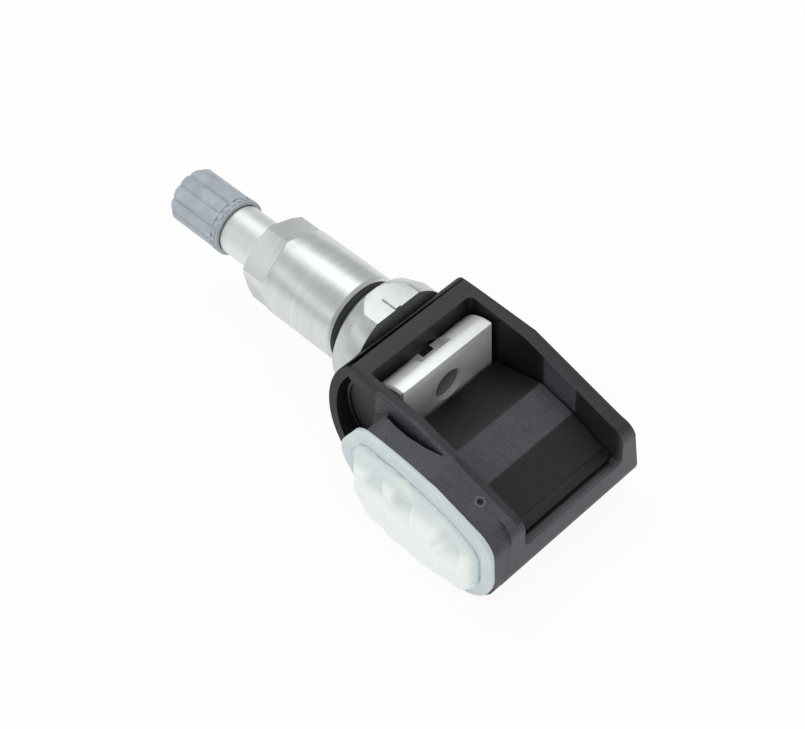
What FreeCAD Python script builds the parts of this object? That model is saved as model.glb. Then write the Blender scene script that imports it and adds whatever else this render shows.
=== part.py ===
import FreeCAD, Part
import math
import os

# Tyre pressure sensor with a clamp-in metal valve that swivels on a plastic housing.
# Millimetres. X runs along the housing with the valve cap at -X, Y across it with the
# potted side at -Y, Z up. The origin is on the underside plane, below the swivel axis.

V = FreeCAD.Vector
TURN = 360.0
CORNER_STEPS = 4

# Swivel
AXIS_Z = 14.0
SWIVEL_UP = 15.0
SWIVEL_DOWN = 10.0

# Clamp bar
BAR_R = 5.65
BAR_FLAT_X = 0.4
BAR_HALF_WIDTH = 8.9
BAR_BORE_R = 2.6
BAR_CLEAR = 0.2
BAR_LEFT_GAP = 1.1
BAR_RIGHT_GAP = 0.5
BAR_STEP_X = -1.9
BAR_STEP_HALF = 2.9
BAR_MOUTH_R = 3.7
BAR_MOUTH_L = 2.2
BAR_CHAMFER = 0.35

# Housing outline
REAR_X = 24.1
TOP_Z = 21.3
BEND_X = 5.9
TOP_PITCH = 4.9
REAR_PITCH = 18.7
REAR_CORNER_R = 5.8
REAR_TOP_R = 2.2
NOSE_ANGLE = 50.0
LEFT_RAIL = 1.4
RIGHT_RAIL = 2.1
LEFT_DRAFT = 2.5
RIGHT_DRAFT = 1.7
SHOULDER_REACH = 4.4
EDGE_R = 0.9
TRAY_LEFT_Y = -BAR_HALF_WIDTH - BAR_LEFT_GAP
TRAY_RIGHT_Y = BAR_HALF_WIDTH + BAR_RIGHT_GAP
LEFT_TOP_Y = TRAY_LEFT_Y - LEFT_RAIL
RIGHT_TOP_Y = TRAY_RIGHT_Y + RIGHT_RAIL
LEFT_BASE_Y = LEFT_TOP_Y - LEFT_DRAFT
RIGHT_BASE_Y = RIGHT_TOP_Y + RIGHT_DRAFT
SHOULDER_Y = LEFT_TOP_Y - SHOULDER_REACH

# Arc walls of the nose
NOSE_R = 10.6
NOSE_WALL = 1.5
NOSE_GAP = 0.8
NOSE_DEPTH = 4.0
NOSE_END_WALL = 0.8
NOSE_RIM_W = 0.4
NOSE_RIM_H = 0.35
TROUGH_WALL = 1.4
POCKET_DOWN = 6.6
POCKET_ROOF = 2.2

# Window and tray behind the bar
WINDOW_X = -4.5
WINDOW_CORNER_R = 0.8
REAR_WALL_T = 1.2
REAR_WALL_Z = 8.5
REAR_WALL_R = 1.0
TRAY_REAR_X = REAR_X - REAR_WALL_T
TRAY_CORNER_R = 1.8
LID_FRONT_X = 1.3
LID_FRONT_Z = 11.9
LID_RIDGE_X = 9.5
LID_RIDGE_Z = 14.1
LID_BREAK_X = 15.4
LID_BREAK_Z = 12.5
LID_REAR_GAP = 0.9
LID_REAR_X = TRAY_REAR_X - LID_REAR_GAP
LID_REAR_Z = 9.2
LID_GROOVE_Z = 8.2
LID_SIDE_GAP = 0.6
LID_T = 0.9

# Shoulder on the potted side
SHOULDER_DROP = 2.7
SHOULDER_Z = TOP_Z - SHOULDER_DROP
SHOULDER_LIP = 0.2
SHOULDER_FRONT_X = 0.4
POST_X = -1.8
POST_W = 1.05
POST_Y = LEFT_TOP_Y - POST_W
HOLLOW_X = 0.9
HOLLOW_LENGTH = 9.9
HOLLOW_BELLY = 0.45
HOLLOW_DEPTH = 3.2
RAIL_FLANK = 0.25
PORT_X = 18.4
PORT_IN = 1.2
PORT_Y = LEFT_TOP_Y - PORT_IN
PORT_R = 0.55
PORT_RING_R = 0.95
PORT_RING_H = 0.12

# Electronics chamber
FLOOR_WALL = 1.4
SIDE_WALL = 1.5
ROOF_WALL = 1.3
CHAMBER_FRONT_X = -2.0

# Potted cover
FLANGE_T = 0.8
FLANGE_FRONT_X = -4.1
FLANGE_INSET = 2.1
FLANGE_BREAK = 8.5
LUMP_H = 2.6
LUMP_BASE_H = 0.6
PLUG_T = 1.2
PLUG_CLEAR = 0.15
PLUG_RIB = 1.0

# Valve stem
NUT_STANDOFF = 6.0
NUT_BASE_X = -NOSE_R - NUT_STANDOFF
STEM_R = 4.0
STEM_TAIL_R = 3.0
STEM_TAIL_END_X = -1.6
STEM_SHOULDER_L = 4.2
STEM_SHOULDER_X = NUT_BASE_X + STEM_SHOULDER_L
STEM_TIP_S = 36.0
STEM_NECK_S = 26.2
STEM_THREAD_R = 3.83
AIR_R = 1.5
CORE_CHAMBER_R = 2.55
CORE_SEAT_R = 1.9
CORE_SEAT_S = 23.0
CORE_CHAMBER_S = 29.5
SLOT_CLEAR = 0.25

# Foot between the rubber ring and the nose
SEAL_T = 1.3
SEAL_R = 6.75
SEAL_LIP = 0.35
FOOT_NECK_R = 6.8
FOOT_FACE_L = 0.5
FOOT_FACE_R = 7.4
FOOT_MID_R = 8.6
FOOT_MID_L = 1.3
FOOT_RIM_R = 9.4
FOOT_RIM_L = 3.7
FOOT_LENGTH = 6.2
FOOT_FLAT_H = 8.5
FOOT_GAP = 0.08
FOOT_RIB_L = 2.7
FOOT_RIB_W = 0.9
FOOT_RIB_H = 0.3

# Union nut
NUT_R = 7.0
NUT_LENGTH = 18.6
NUT_HEX_LENGTH = 4.5
NUT_HEX_AF = 12.0
NUT_HEX_TURN = 51.0
NUT_EDGE = 0.5
NUT_FACE = 0.8
NUT_CHAMFER = 0.45
NUT_RAMP = 0.8
NUT_BORE_CLEAR = 0.06
NUT_TRAVEL = 7.2
WASHER_T = 0.7
WASHER_R = 5.9
WASHER_CLEAR = 0.1

# Valve cap
CAP_R = 4.7
CAP_S = 25.9
CAP_LENGTH = 12.2
CAP_LOBES = 12
CAP_LOBE_R = 4.62
CAP_VALLEY_R = 4.25
CAP_SKIRT = 1.6
CAP_NOTCHES = 22
CAP_NOTCH_W = 0.3
CAP_NOTCH_D = 0.25
CAP_NOTCH_RIM = 0.3
CAP_DOME = 0.8
CAP_BORE_CLEAR = 0.08
CAP_SEAL_T = 0.6
CAP_SEAL_R = 3.5
CAP_SEAL_GAP = 0.05

# Valve core
CORE_BODY_R = 2.2
CORE_BODY_S = 30.2
CORE_BODY_LENGTH = 3.8
CORE_STEM_R = 1.5
CORE_AIR_R = 0.95
CORE_GUIDE_L = 1.4
CORE_PIN_R = 0.55
CORE_PIN_BORE_CLEAR = 0.06
CORE_PIN_HEAD_R = 1.3
CORE_PIN_HEAD_T = 0.6
CORE_PIN_SUNK = 0.3
CORE_CUP_S = 25.6
CORE_CUP_T = 1.2
CORE_FIT = 0.02
SPRING_WIRE_R = 0.15
SPRING_COIL_R = 1.0
SPRING_BORE_CLEAR = 0.12
SPRING_TURNS = 4
SPRING_STEPS = 12
SPRING_SIDES = 6

# Battery
CELL_R = 9.6
CELL_T = 4.6
CELL_X = 9.4
CELL_Y = -1.2
CELL_LIFT = 0.3
CELL_CAN_R = 8.4
CELL_CAN_T = 0.35
CELL_EDGE = 0.45
TAB_T = 0.2
TAB_W = 3.0
TAB_REACH = 2.5
TAB_LUG_IN = 0.6
TAB_LUG_H = 1.6
TAB_OFFSET = 3.2

# Board and chips
BOARD_IN = 2.2
BOARD_Y = SHOULDER_Y + BOARD_IN
BOARD_T = 1.0
BOARD_X0 = 1.4
BOARD_X1 = 20.4
BOARD_Z0 = 2.2
BOARD_GAP = 0.5
BOARD_CUT = 3.2
SENSOR_X = 13.6
SENSOR_Z = 5.2
SENSOR_L = 5.2
SENSOR_W = 5.0
SENSOR_T = 1.5
SENSOR_PORT_R = 0.6
SENSOR_PORT_L = 1.3
RADIO_X = 8.6
RADIO_Z = 7.4
RADIO_L = 3.2
RADIO_T = 0.9
CRYSTAL_X = 8.8
CRYSTAL_Z = 4.0
CRYSTAL_L = 2.8
CRYSTAL_W = 2.0
CRYSTAL_T = 0.7
CRYSTAL_R = 0.4
COIL_X = 4.2
COIL_Z = 7.6
COIL_L = 4.2
COIL_H = 2.4
COIL_T = 1.9
COIL_END = 0.8
COIL_BAR = 0.5
COIL_RISE = 0.3
COIL_WIRE = 0.2
COIL_FIT = 0.03


def xz_wire(points):
    vectors = [V(x, 0, z) for x, z in points]
    return Part.makePolygon(vectors + [vectors[0]])


def slab(points, y0, y1):
    """A closed X-Z outline carried from y0 to y1."""
    face = Part.Face(xz_wire(points))
    face.translate(V(0, y0, 0))
    return face.extrude(V(0, y1 - y0, 0))


def box(x0, x1, y0, y1, z0, z1):
    return Part.makeBox(x1 - x0, y1 - y0, z1 - z0, V(x0, y0, z0))


def rod_x(radius, x0, x1, y=0.0, z=AXIS_Z):
    return Part.makeCylinder(radius, x1 - x0, V(x0, y, z), V(1, 0, 0))


def rod_y(radius, y0, y1, x=0.0, z=AXIS_Z):
    return Part.makeCylinder(radius, y1 - y0, V(x, y0, z), V(0, 1, 0))


def rod_z(radius, z0, z1, x, y):
    return Part.makeCylinder(radius, z1 - z0, V(x, y, z0), V(0, 0, 1))


def at(s):
    """The X of a station on the valve, measured from the nut base towards the cap."""
    return NUT_BASE_X - s


def turned(profile):
    """A solid of revolution on the valve axis from (x, radius) points."""
    vectors = [V(x, 0, AXIS_Z + r) for x, r in profile]
    face = Part.Face(Part.makePolygon(vectors + [vectors[0]]))
    return face.revolve(V(0, 0, AXIS_Z), V(1, 0, 0), TURN)


def arc_points(radius, start, end, steps, x=0.0, z=AXIS_Z):
    """Points of an arc about the swivel axis, angles from -X towards +Z."""
    out = []
    for i in range(steps + 1):
        a = math.radians(start + (end - start) * i / steps)
        out.append((x - radius * math.cos(a), z + radius * math.sin(a)))
    return out


def nose_top_x():
    """Where the nose arc reaches the top."""
    return -math.sqrt(NOSE_R ** 2 - (TOP_Z - AXIS_Z) ** 2)


def top_z(x):
    """Height of the housing's top plane pair at x."""
    first = math.tan(math.radians(TOP_PITCH))
    if x <= BEND_X:
        return TOP_Z - (x - nose_top_x()) * first
    return top_z(BEND_X) - (x - BEND_X) * math.tan(math.radians(REAR_PITCH))


def nose_end():
    """The last point of the nose arc, where it leaves tangentially for the underside."""
    a = math.radians(NOSE_ANGLE)
    x = -NOSE_R * math.cos(a)
    z = AXIS_Z - NOSE_R * math.sin(a)
    run = z / math.cos(a)
    return x, z, x + run * math.sin(a)


def body_outline():
    """Side outline with the arc nose, as one face."""
    xe, ze, xb = nose_end()
    start = V(nose_top_x(), 0, TOP_Z)
    end = V(xe, 0, ze)
    mid = V(-NOSE_R, 0, AXIS_Z)
    nose = Part.Arc(start, mid, end).toShape()
    c = REAR_CORNER_R
    s = math.sqrt(0.5)
    corner = Part.Arc(V(REAR_X - c, 0, 0), V(REAR_X - c + c * s, 0, c - c * s), V(REAR_X, 0, c)).toShape()
    t = REAR_TOP_R
    zt = top_z(REAR_X - t)
    top = Part.Arc(V(REAR_X - t, 0, zt), V(REAR_X - t * 0.22, 0, zt - t * 0.42), V(REAR_X, 0, zt - t * 1.25)).toShape()
    edges = [
        nose,
        Part.makeLine(end, V(xb, 0, 0)),
        Part.makeLine(V(xb, 0, 0), V(REAR_X - c, 0, 0)),
        corner,
        Part.makeLine(V(REAR_X, 0, c), V(REAR_X, 0, zt - t * 1.25)),
        top,
        Part.makeLine(V(REAR_X - t, 0, zt), V(BEND_X, 0, top_z(BEND_X))),
        Part.makeLine(V(BEND_X, 0, top_z(BEND_X)), start),
    ]
    return Part.Face(Part.Wire(Part.__sortEdges__(edges)))


def softened(points, radii):
    """The outline with each corner eased by a short curve of about the given radius."""
    out = []
    n = len(points)
    for i in range(n):
        r = radii.get(i, 0.0)
        p = V(points[i][0], points[i][1], 0)
        if r <= 0.0:
            out.append((p.x, p.y))
            continue
        a = V(points[i - 1][0], points[i - 1][1], 0) - p
        b = V(points[(i + 1) % n][0], points[(i + 1) % n][1], 0) - p
        half = a.getAngle(b) / 2
        reach = min(r / math.tan(half), a.Length * 0.45, b.Length * 0.45)
        a.normalize()
        b.normalize()
        start = p + a * reach
        end = p + b * reach
        for k in range(CORNER_STEPS + 1):
            t = k / CORNER_STEPS
            q = start * (1 - t) * (1 - t) + p * 2 * t * (1 - t) + end * t * t
            out.append((q.x, q.y))
    return out


def flange_outline(grow=0.0):
    """Side outline of the potted side's flange, grown or shrunk by an offset."""
    c = REAR_CORNER_R
    x0 = FLANGE_FRONT_X
    zt = SHOULDER_Z + SHOULDER_LIP
    x_break = BEND_X + FLANGE_BREAK
    pts = [
        (x0, 10.6),
        (x0, 12.7),
        (x0 + 2.4, 16.6),
        (x0 + 5.0, zt),
        (x_break - 2.2, zt - 0.55),
        (x_break, top_z(x_break)),
        (REAR_X - 2.2, top_z(REAR_X - 2.2)),
        (REAR_X, top_z(REAR_X) - 1.6),
        (REAR_X, c),
    ]
    for i in range(1, 7):
        a = math.radians(90.0 * i / 6)
        pts.append((REAR_X - c + c * math.cos(a), c - c * math.sin(a)))
    pts.append((3.4, 0.0))
    pts.append((x0 + 1.9, 7.2))
    last = len(pts) - 1
    soft = {0: 4.0, 1: 4.0, 2: 5.0, 3: 4.0, 4: 5.0, 5: 5.0, 6: 2.5, 7: 2.5, last - 1: 3.0, last: 4.0}
    wire = xz_wire(softened(pts, soft))
    if grow:
        wire = wire.makeOffset2D(grow, 0, False, False, True)
    return Part.Face(wire)


def cross_section():
    """Front view of the main body: drafted flanks with rounded upper corners."""
    r = EDGE_R
    pts = [
        (LEFT_BASE_Y, -1.0),
        (LEFT_BASE_Y + 0.2, 6.0),
        (LEFT_TOP_Y - 0.2, TOP_Z - 1.6),
        (LEFT_TOP_Y + 0.25, TOP_Z - 0.35),
        (LEFT_TOP_Y + r, TOP_Z + 0.02),
        (RIGHT_TOP_Y - r, TOP_Z + 0.02),
        (RIGHT_TOP_Y - 0.25, TOP_Z - 0.3),
        (RIGHT_TOP_Y, TOP_Z - 1.2),
        (RIGHT_TOP_Y + 0.1, AXIS_Z + 1.0),
        (RIGHT_BASE_Y, 3.0),
        (RIGHT_BASE_Y, -1.0),
    ]
    start = -NOSE_R - 2.0
    vectors = [V(start, y, z) for y, z in pts]
    face = Part.Face(Part.makePolygon(vectors + [vectors[0]]))
    return face.extrude(V(REAR_X + 2.0 - start, 0, 0))


def sector(r_in, r_out, y0, y1, start, end):
    """A curved wall segment about the swivel axis."""
    n = 14
    pts = arc_points(r_out, start, end, n) + arc_points(r_in, end, start, n)
    return slab(pts, y0, y1)


def swing_room():
    """What the bar sweeps while it tilts, kept inside the trough."""
    trough_r = BAR_R + BAR_CLEAR
    full = rod_y(trough_r, TRAY_LEFT_Y, TRAY_RIGHT_Y)
    room = None
    for angle in (0.0, SWIVEL_UP + 1.0, -SWIVEL_DOWN - 1.0):
        half = box(-9.0, BAR_FLAT_X + 0.25, TRAY_LEFT_Y, TRAY_RIGHT_Y, AXIS_Z - 9.0, AXIS_Z + 9.0)
        half.rotate(V(0, 0, AXIS_Z), V(0, 1, 0), angle)
        piece = full.common(half)
        room = piece if room is None else room.fuse(piece)
    return room


def stem_slot():
    """The slot that lets the stem tilt in the nose and trough walls."""
    r = STEM_TAIL_R + SLOT_CLEAR
    slot = None
    steps = 4
    for i in range(steps + 1):
        angle = SWIVEL_UP - (SWIVEL_UP + SWIVEL_DOWN) * i / steps
        bore = rod_x(r, -NOSE_R - 2.0, -2.0)
        bore.rotate(V(0, 0, AXIS_Z), V(0, 1, 0), angle)
        slot = bore if slot is None else slot.fuse(bore)
    return slot


def tray_cut():
    """The open window over the bar and the tray over the electronics lid."""
    pts = [
        (WINDOW_X, TOP_Z + 4.0),
        (WINDOW_X, LID_FRONT_Z),
        (LID_FRONT_X, LID_FRONT_Z),
        (LID_RIDGE_X, LID_RIDGE_Z),
        (LID_BREAK_X, LID_BREAK_Z),
        (LID_REAR_X, LID_REAR_Z),
        (LID_REAR_X + 0.2, LID_GROOVE_Z),
        (TRAY_REAR_X, LID_GROOVE_Z),
        (TRAY_REAR_X, TOP_Z + 4.0),
    ]
    prism = slab(pts, TRAY_LEFT_Y, TRAY_RIGHT_Y)
    plan = box(WINDOW_X, TRAY_REAR_X, TRAY_LEFT_Y, TRAY_RIGHT_Y, -1.0, TOP_Z + 5.0)
    uprights = [e for e in plan.Edges if e.BoundBox.ZLength > TOP_Z]
    front = [e for e in uprights if e.BoundBox.XMax < LID_FRONT_X]
    plan = plan.makeFillet(WINDOW_CORNER_R, front)
    rear = [e for e in plan.Edges if e.BoundBox.ZLength > TOP_Z and e.BoundBox.XMin > LID_REAR_X]
    plan = plan.makeFillet(TRAY_CORNER_R, rear)
    return prism.common(plan)


def lid_groove():
    """The narrow gap round the raised lid, against the right rail and the rear wall."""
    y1 = TRAY_RIGHT_Y
    y0 = y1 - LID_SIDE_GAP
    pts = [
        (LID_FRONT_X + 0.4, LID_FRONT_Z + 3.0),
        (LID_FRONT_X + 0.4, LID_FRONT_Z - 0.7),
        (LID_RIDGE_X, LID_RIDGE_Z - 0.8),
        (LID_BREAK_X, LID_BREAK_Z - 0.8),
        (LID_REAR_X, LID_REAR_Z - 0.8),
        (TRAY_REAR_X - 0.3, LID_GROOVE_Z + 0.1),
        (TRAY_REAR_X - 0.3, LID_FRONT_Z + 6.0),
    ]
    return slab(pts, y0, y1)


def rear_wall_cut():
    """Lowers the rear wall between the two rails, with eased ends."""
    z0 = REAR_WALL_Z
    r = REAR_WALL_R
    y0 = TRAY_LEFT_Y
    y1 = TRAY_RIGHT_Y
    high = TOP_Z + 2.0
    pts = [
        (y0 + r, z0),
        (y1 - r, z0),
        (y1 - r * 0.3, z0 + r * 0.3),
        (y1, z0 + r),
        (y1, high),
        (y0, high),
        (y0, z0 + r),
        (y0 + r * 0.3, z0 + r * 0.3),
    ]
    start = TRAY_REAR_X - TRAY_CORNER_R - 0.1
    vectors = [V(start, y, z) for y, z in pts]
    face = Part.Face(Part.makePolygon(vectors + [vectors[0]]))
    return face.extrude(V(REAR_X + 1.0 - start, 0, 0))


def nose_pocket():
    """The hollow inside the outer arc wall, open on the potted side, with the trough's rimmed end."""
    outer = NOSE_R - NOSE_WALL
    disc = outer - NOSE_GAP
    far = LEFT_BASE_Y - 1.0
    wall = TRAY_LEFT_Y - NOSE_END_WALL
    room = box(-outer, POST_X, far, wall, AXIS_Z - POCKET_DOWN, TOP_Z - POCKET_ROOF)
    room = room.common(rod_y(outer, far, wall))
    rim = rod_y(disc, wall - NOSE_RIM_H, wall).cut(rod_y(disc - NOSE_RIM_W, wall - NOSE_RIM_H - 1.0, wall + 1.0))
    gap = sector(disc, outer, far, TRAY_LEFT_Y + NOSE_DEPTH, -46.0, 38.0)
    return room.cut(rim).fuse(gap)


def shoulder_trim():
    """What is left out in front of the shoulder and of the post beside the rail."""
    z0 = AXIS_Z + 0.6
    z1 = TOP_Z + 2.0
    far = SHOULDER_Y - 1.0
    front = box(FLANGE_FRONT_X, SHOULDER_FRONT_X, far, POST_Y, z0, z1)
    beside = box(FLANGE_FRONT_X, POST_X, POST_Y - 0.5, LEFT_TOP_Y - 0.5, z0, z1)
    return front.fuse(beside)


def shoulder_hollow():
    """The dark wedge-shaped pocket between the left rail and the shoulder."""
    x0 = HOLLOW_X
    x1 = HOLLOW_X + HOLLOW_LENGTH
    y0 = LEFT_TOP_Y - RAIL_FLANK
    pts = [
        (x0, y0),
        (x0, POST_Y),
        (x0 + HOLLOW_LENGTH * 0.2, POST_Y - HOLLOW_BELLY * 0.8),
        (x0 + HOLLOW_LENGTH * 0.45, POST_Y - HOLLOW_BELLY),
        (x0 + HOLLOW_LENGTH * 0.75, POST_Y - HOLLOW_BELLY * 0.2),
        (x1, y0 - RAIL_FLANK),
        (x1, y0),
    ]
    vectors = [V(x, y, SHOULDER_Z - HOLLOW_DEPTH) for x, y in pts]
    face = Part.Face(Part.makePolygon(vectors + [vectors[0]]))
    return face.extrude(V(0, 0, HOLLOW_DEPTH + 6.0))


def chamber_mouth(inset=0.0):
    """Side outline of the chamber where it opens on the potted side."""
    rear = REAR_X - SIDE_WALL - inset
    c = REAR_CORNER_R - FLOOR_WALL
    x0 = SHOULDER_FRONT_X + 2.2 + inset
    z0 = FLOOR_WALL + inset
    drop = inset * 1.1
    return [
        (x0, z0),
        (rear - c + inset * 0.4, z0),
        (rear, z0 + c - inset * 0.4),
        (rear, top_z(REAR_X) - 3.4 - inset * 0.8),
        (BEND_X + FLANGE_BREAK, top_z(BEND_X + FLANGE_BREAK) - ROOF_WALL - 1.2 - drop),
        (BEND_X + FLANGE_BREAK - 2.2, SHOULDER_Z - ROOF_WALL + 0.7 - HOLLOW_DEPTH - drop),
        (x0, SHOULDER_Z - HOLLOW_DEPTH - ROOF_WALL - drop),
    ]


def slope_x(z):
    """Where the chamber meets the inside of the nose's slanted underside at height z."""
    a = math.radians(NOSE_ANGLE)
    return nose_end()[2] - z * math.tan(a) + FLOOR_WALL / math.cos(a)


def slope_z(x):
    """Height of the slanted underside's inner face at x."""
    return (slope_x(0.0) - x) / math.tan(math.radians(NOSE_ANGLE))


def chamber():
    """The electronics space, open on the potted side."""
    trough = AXIS_Z - BAR_R - BAR_CLEAR - TROUGH_WALL
    front = CHAMBER_FRONT_X
    rear = REAR_X - SIDE_WALL
    c = REAR_CORNER_R - FLOOR_WALL
    base = [
        (front, slope_z(front)),
        (slope_x(FLOOR_WALL), FLOOR_WALL),
        (rear - c, FLOOR_WALL),
        (rear - c * 0.5, FLOOR_WALL + c * 0.134),
        (rear - c * 0.134, FLOOR_WALL + c * 0.5),
        (rear, FLOOR_WALL + c),
    ]
    roof = [
        (rear, LID_GROOVE_Z - ROOF_WALL),
        (LID_REAR_X, LID_REAR_Z - ROOF_WALL - LID_T),
        (LID_BREAK_X, LID_BREAK_Z - ROOF_WALL - LID_T),
        (LID_RIDGE_X, LID_RIDGE_Z - ROOF_WALL - LID_T),
        (LID_FRONT_X + 5.0, trough),
        (front, trough),
    ]
    deep = slab(base + roof, SHOULDER_Y - 1.0, RIGHT_TOP_Y - SIDE_WALL)
    shallow = slab(chamber_mouth(), SHOULDER_Y - 1.0, TRAY_LEFT_Y - ROOF_WALL)
    return deep.fuse(shallow)


def port_ring():
    """The small raised ring round the pressure port."""
    z = top_z(PORT_X)
    lip = rod_z(PORT_RING_R, z - 1.0, z + 2.0, PORT_X, PORT_Y)
    slope = slab([(PORT_X - 3, top_z(PORT_X - 3)), (PORT_X + 3, top_z(PORT_X + 3)),
                  (PORT_X + 3, top_z(PORT_X + 3) + PORT_RING_H),
                  (PORT_X - 3, top_z(PORT_X - 3) + PORT_RING_H)], PORT_Y - 3, PORT_Y + 3)
    return lip.common(slope)


def housing():
    """The black moulded body with nose, window, tray, shoulder and chamber."""
    outline = body_outline()
    outline.translate(V(0, SHOULDER_Y, 0))
    body = outline.extrude(V(0, RIGHT_BASE_Y + 1.0 - SHOULDER_Y, 0)).common(cross_section())
    side = flange_outline(-0.02)
    side.translate(V(0, SHOULDER_Y, 0))
    body = body.fuse(side.extrude(V(0, LEFT_TOP_Y - SHOULDER_Y + 0.6, 0)))
    body = body.cut(shoulder_trim())
    body = body.cut(swing_room())
    body = body.cut(tray_cut())
    body = body.cut(lid_groove())
    body = body.cut(rear_wall_cut())
    body = body.cut(stem_slot())
    body = body.cut(nose_pocket())
    body = body.cut(shoulder_hollow())
    body = body.cut(chamber())
    body = body.fuse(port_ring())
    body = body.cut(rod_z(PORT_R, AXIS_Z - 8.0, TOP_Z, PORT_X, PORT_Y))
    return body.removeSplitter()


def lump(x0, x1, z0, z1, height, bevel):
    """A block that stands out from the cover's flange, with its outer edges bevelled."""
    y1 = SHOULDER_Y - FLANGE_T + 0.1
    block = box(x0, x1, y1 - 0.1 - height, y1, z0, z1)
    edges = [e for e in block.Edges if e.BoundBox.YMin < y1 - 0.01]
    return block.makeChamfer(bevel, edges)


def potting_cover():
    """The milky flange plate with the lumps that the parts beneath it leave."""
    face = flange_outline()
    y0 = SHOULDER_Y - FLANGE_T
    face.translate(V(0, y0, 0))
    plate = face.extrude(V(0, FLANGE_T, 0))
    base = flange_outline(-FLANGE_INSET)
    base.translate(V(0, y0 - LUMP_BASE_H, 0))
    cover = plate.fuse(base.extrude(V(0, LUMP_BASE_H + 0.2, 0)))
    lumps = [
        (-0.4, 6.5, 3.2, 9.7, LUMP_H * 0.85, 1.1),
        (-0.7, 1.8, 8.4, 13.2, LUMP_H * 0.6, 0.7),
        (5.9, 16.0, 2.8, 10.2, LUMP_H, 1.3),
        (5.0, 7.3, 9.0, 13.4, LUMP_H * 0.55, 0.6),
        (11.1, 15.7, 8.4, 12.4, LUMP_H * 0.8, 1.0),
        (15.4, 21.0, 3.0, 8.5, LUMP_H * 0.85, 1.1),
        (19.2, 21.0, 6.4, 10.6, LUMP_H * 0.6, 0.6),
    ]
    for size in lumps:
        cover = cover.fuse(lump(*size))
    return cover.fuse(plug_ring()).removeSplitter()


def plug_ring():
    """The inner rib of the cover that locates it in the chamber mouth."""
    c = PLUG_CLEAR
    w = PLUG_RIB
    outer = chamber_mouth(c)
    inner = chamber_mouth(c + w)
    ring = slab(outer, SHOULDER_Y - 0.1, SHOULDER_Y + PLUG_T)
    return ring.cut(slab(inner, SHOULDER_Y - 0.05, SHOULDER_Y + PLUG_T + 1.0))


def clamp_bar():
    """The half-round bar in the trough, with a flat rear face and a through bore."""
    bar = rod_y(BAR_R, -BAR_HALF_WIDTH, BAR_HALF_WIDTH)
    half = box(-BAR_R - 1.0, BAR_FLAT_X, -BAR_HALF_WIDTH, BAR_HALF_WIDTH, AXIS_Z - BAR_R, AXIS_Z + BAR_R)
    bar = bar.common(half)
    ends = [e for e in bar.Edges if abs(abs(e.BoundBox.YMin) - BAR_HALF_WIDTH) < 0.01
            and abs(e.BoundBox.YMax - e.BoundBox.YMin) < 0.01]
    bar = bar.makeChamfer(BAR_CHAMFER, ends)
    floor = AXIS_Z + BAR_MOUTH_R - 0.15
    seat = box(-BAR_R - 1.0, BAR_STEP_X, -BAR_STEP_HALF, BAR_STEP_HALF, floor, AXIS_Z + BAR_R + 1.0)
    bar = bar.cut(seat)
    bar = bar.cut(rod_x(BAR_MOUTH_R, -BAR_R - 1.0, -BAR_R + BAR_MOUTH_L))
    bar = bar.cut(rod_x(BAR_BORE_R, STEM_TAIL_END_X - 0.01, BAR_FLAT_X + 1.0))
    return bar.cut(rod_x(STEM_TAIL_R, -9.0, STEM_TAIL_END_X))


def valve_foot():
    """The die-cast foot: round, flattened above and below, and hollowed to the nose at the rear."""
    x0 = NUT_BASE_X + SEAL_T
    rear = x0 + FOOT_LENGTH
    profile = [
        (x0, 0.0),
        (x0, FOOT_NECK_R),
        (x0 + FOOT_FACE_L, FOOT_FACE_R),
        (x0 + FOOT_MID_L, FOOT_MID_R),
        (x0 + FOOT_RIM_L, FOOT_RIM_R),
        (rear, FOOT_RIM_R),
        (rear, 0.0),
    ]
    foot = turned(profile)
    h = FOOT_FLAT_H
    wide = FOOT_RIM_R + 1.0
    foot = foot.common(box(x0 - 1.0, rear + 1.0, -wide, wide, AXIS_Z - h, AXIS_Z + h))
    foot = foot.fuse(foot_ribs(rear))
    foot = foot.cut(rod_y(NOSE_R + FOOT_GAP, -wide, wide))
    foot = foot.cut(rod_x(STEM_R + 0.02, x0 - 1.0, STEM_SHOULDER_X))
    return foot.cut(rod_x(STEM_TAIL_R + 0.02, STEM_SHOULDER_X - 0.1, 0.0)).removeSplitter()


def foot_ribs(rear):
    """A raised oblong pad on each flat of the foot, up to its rear edge."""
    half = FOOT_RIB_W / 2
    h = FOOT_FLAT_H
    upper = box(rear - FOOT_RIB_L, rear, -half, half, AXIS_Z + h - 1.0, AXIS_Z + h + FOOT_RIB_H)
    lower = box(rear - FOOT_RIB_L, rear, -half, half, AXIS_Z - h - FOOT_RIB_H, AXIS_Z - h + 1.0)
    return upper.fuse(lower)


def rim_seal():
    """The black rubber ring that seals on the wheel rim, with a lip round the stem."""
    x0 = NUT_BASE_X
    x1 = NUT_BASE_X + SEAL_T
    inner = STEM_R + 0.02
    return turned([(x0, inner), (x0, SEAL_R - SEAL_LIP), (x0 + SEAL_LIP, SEAL_R),
                   (x1 - SEAL_LIP, SEAL_R), (x1, SEAL_R - SEAL_LIP), (x1, inner)])


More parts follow.
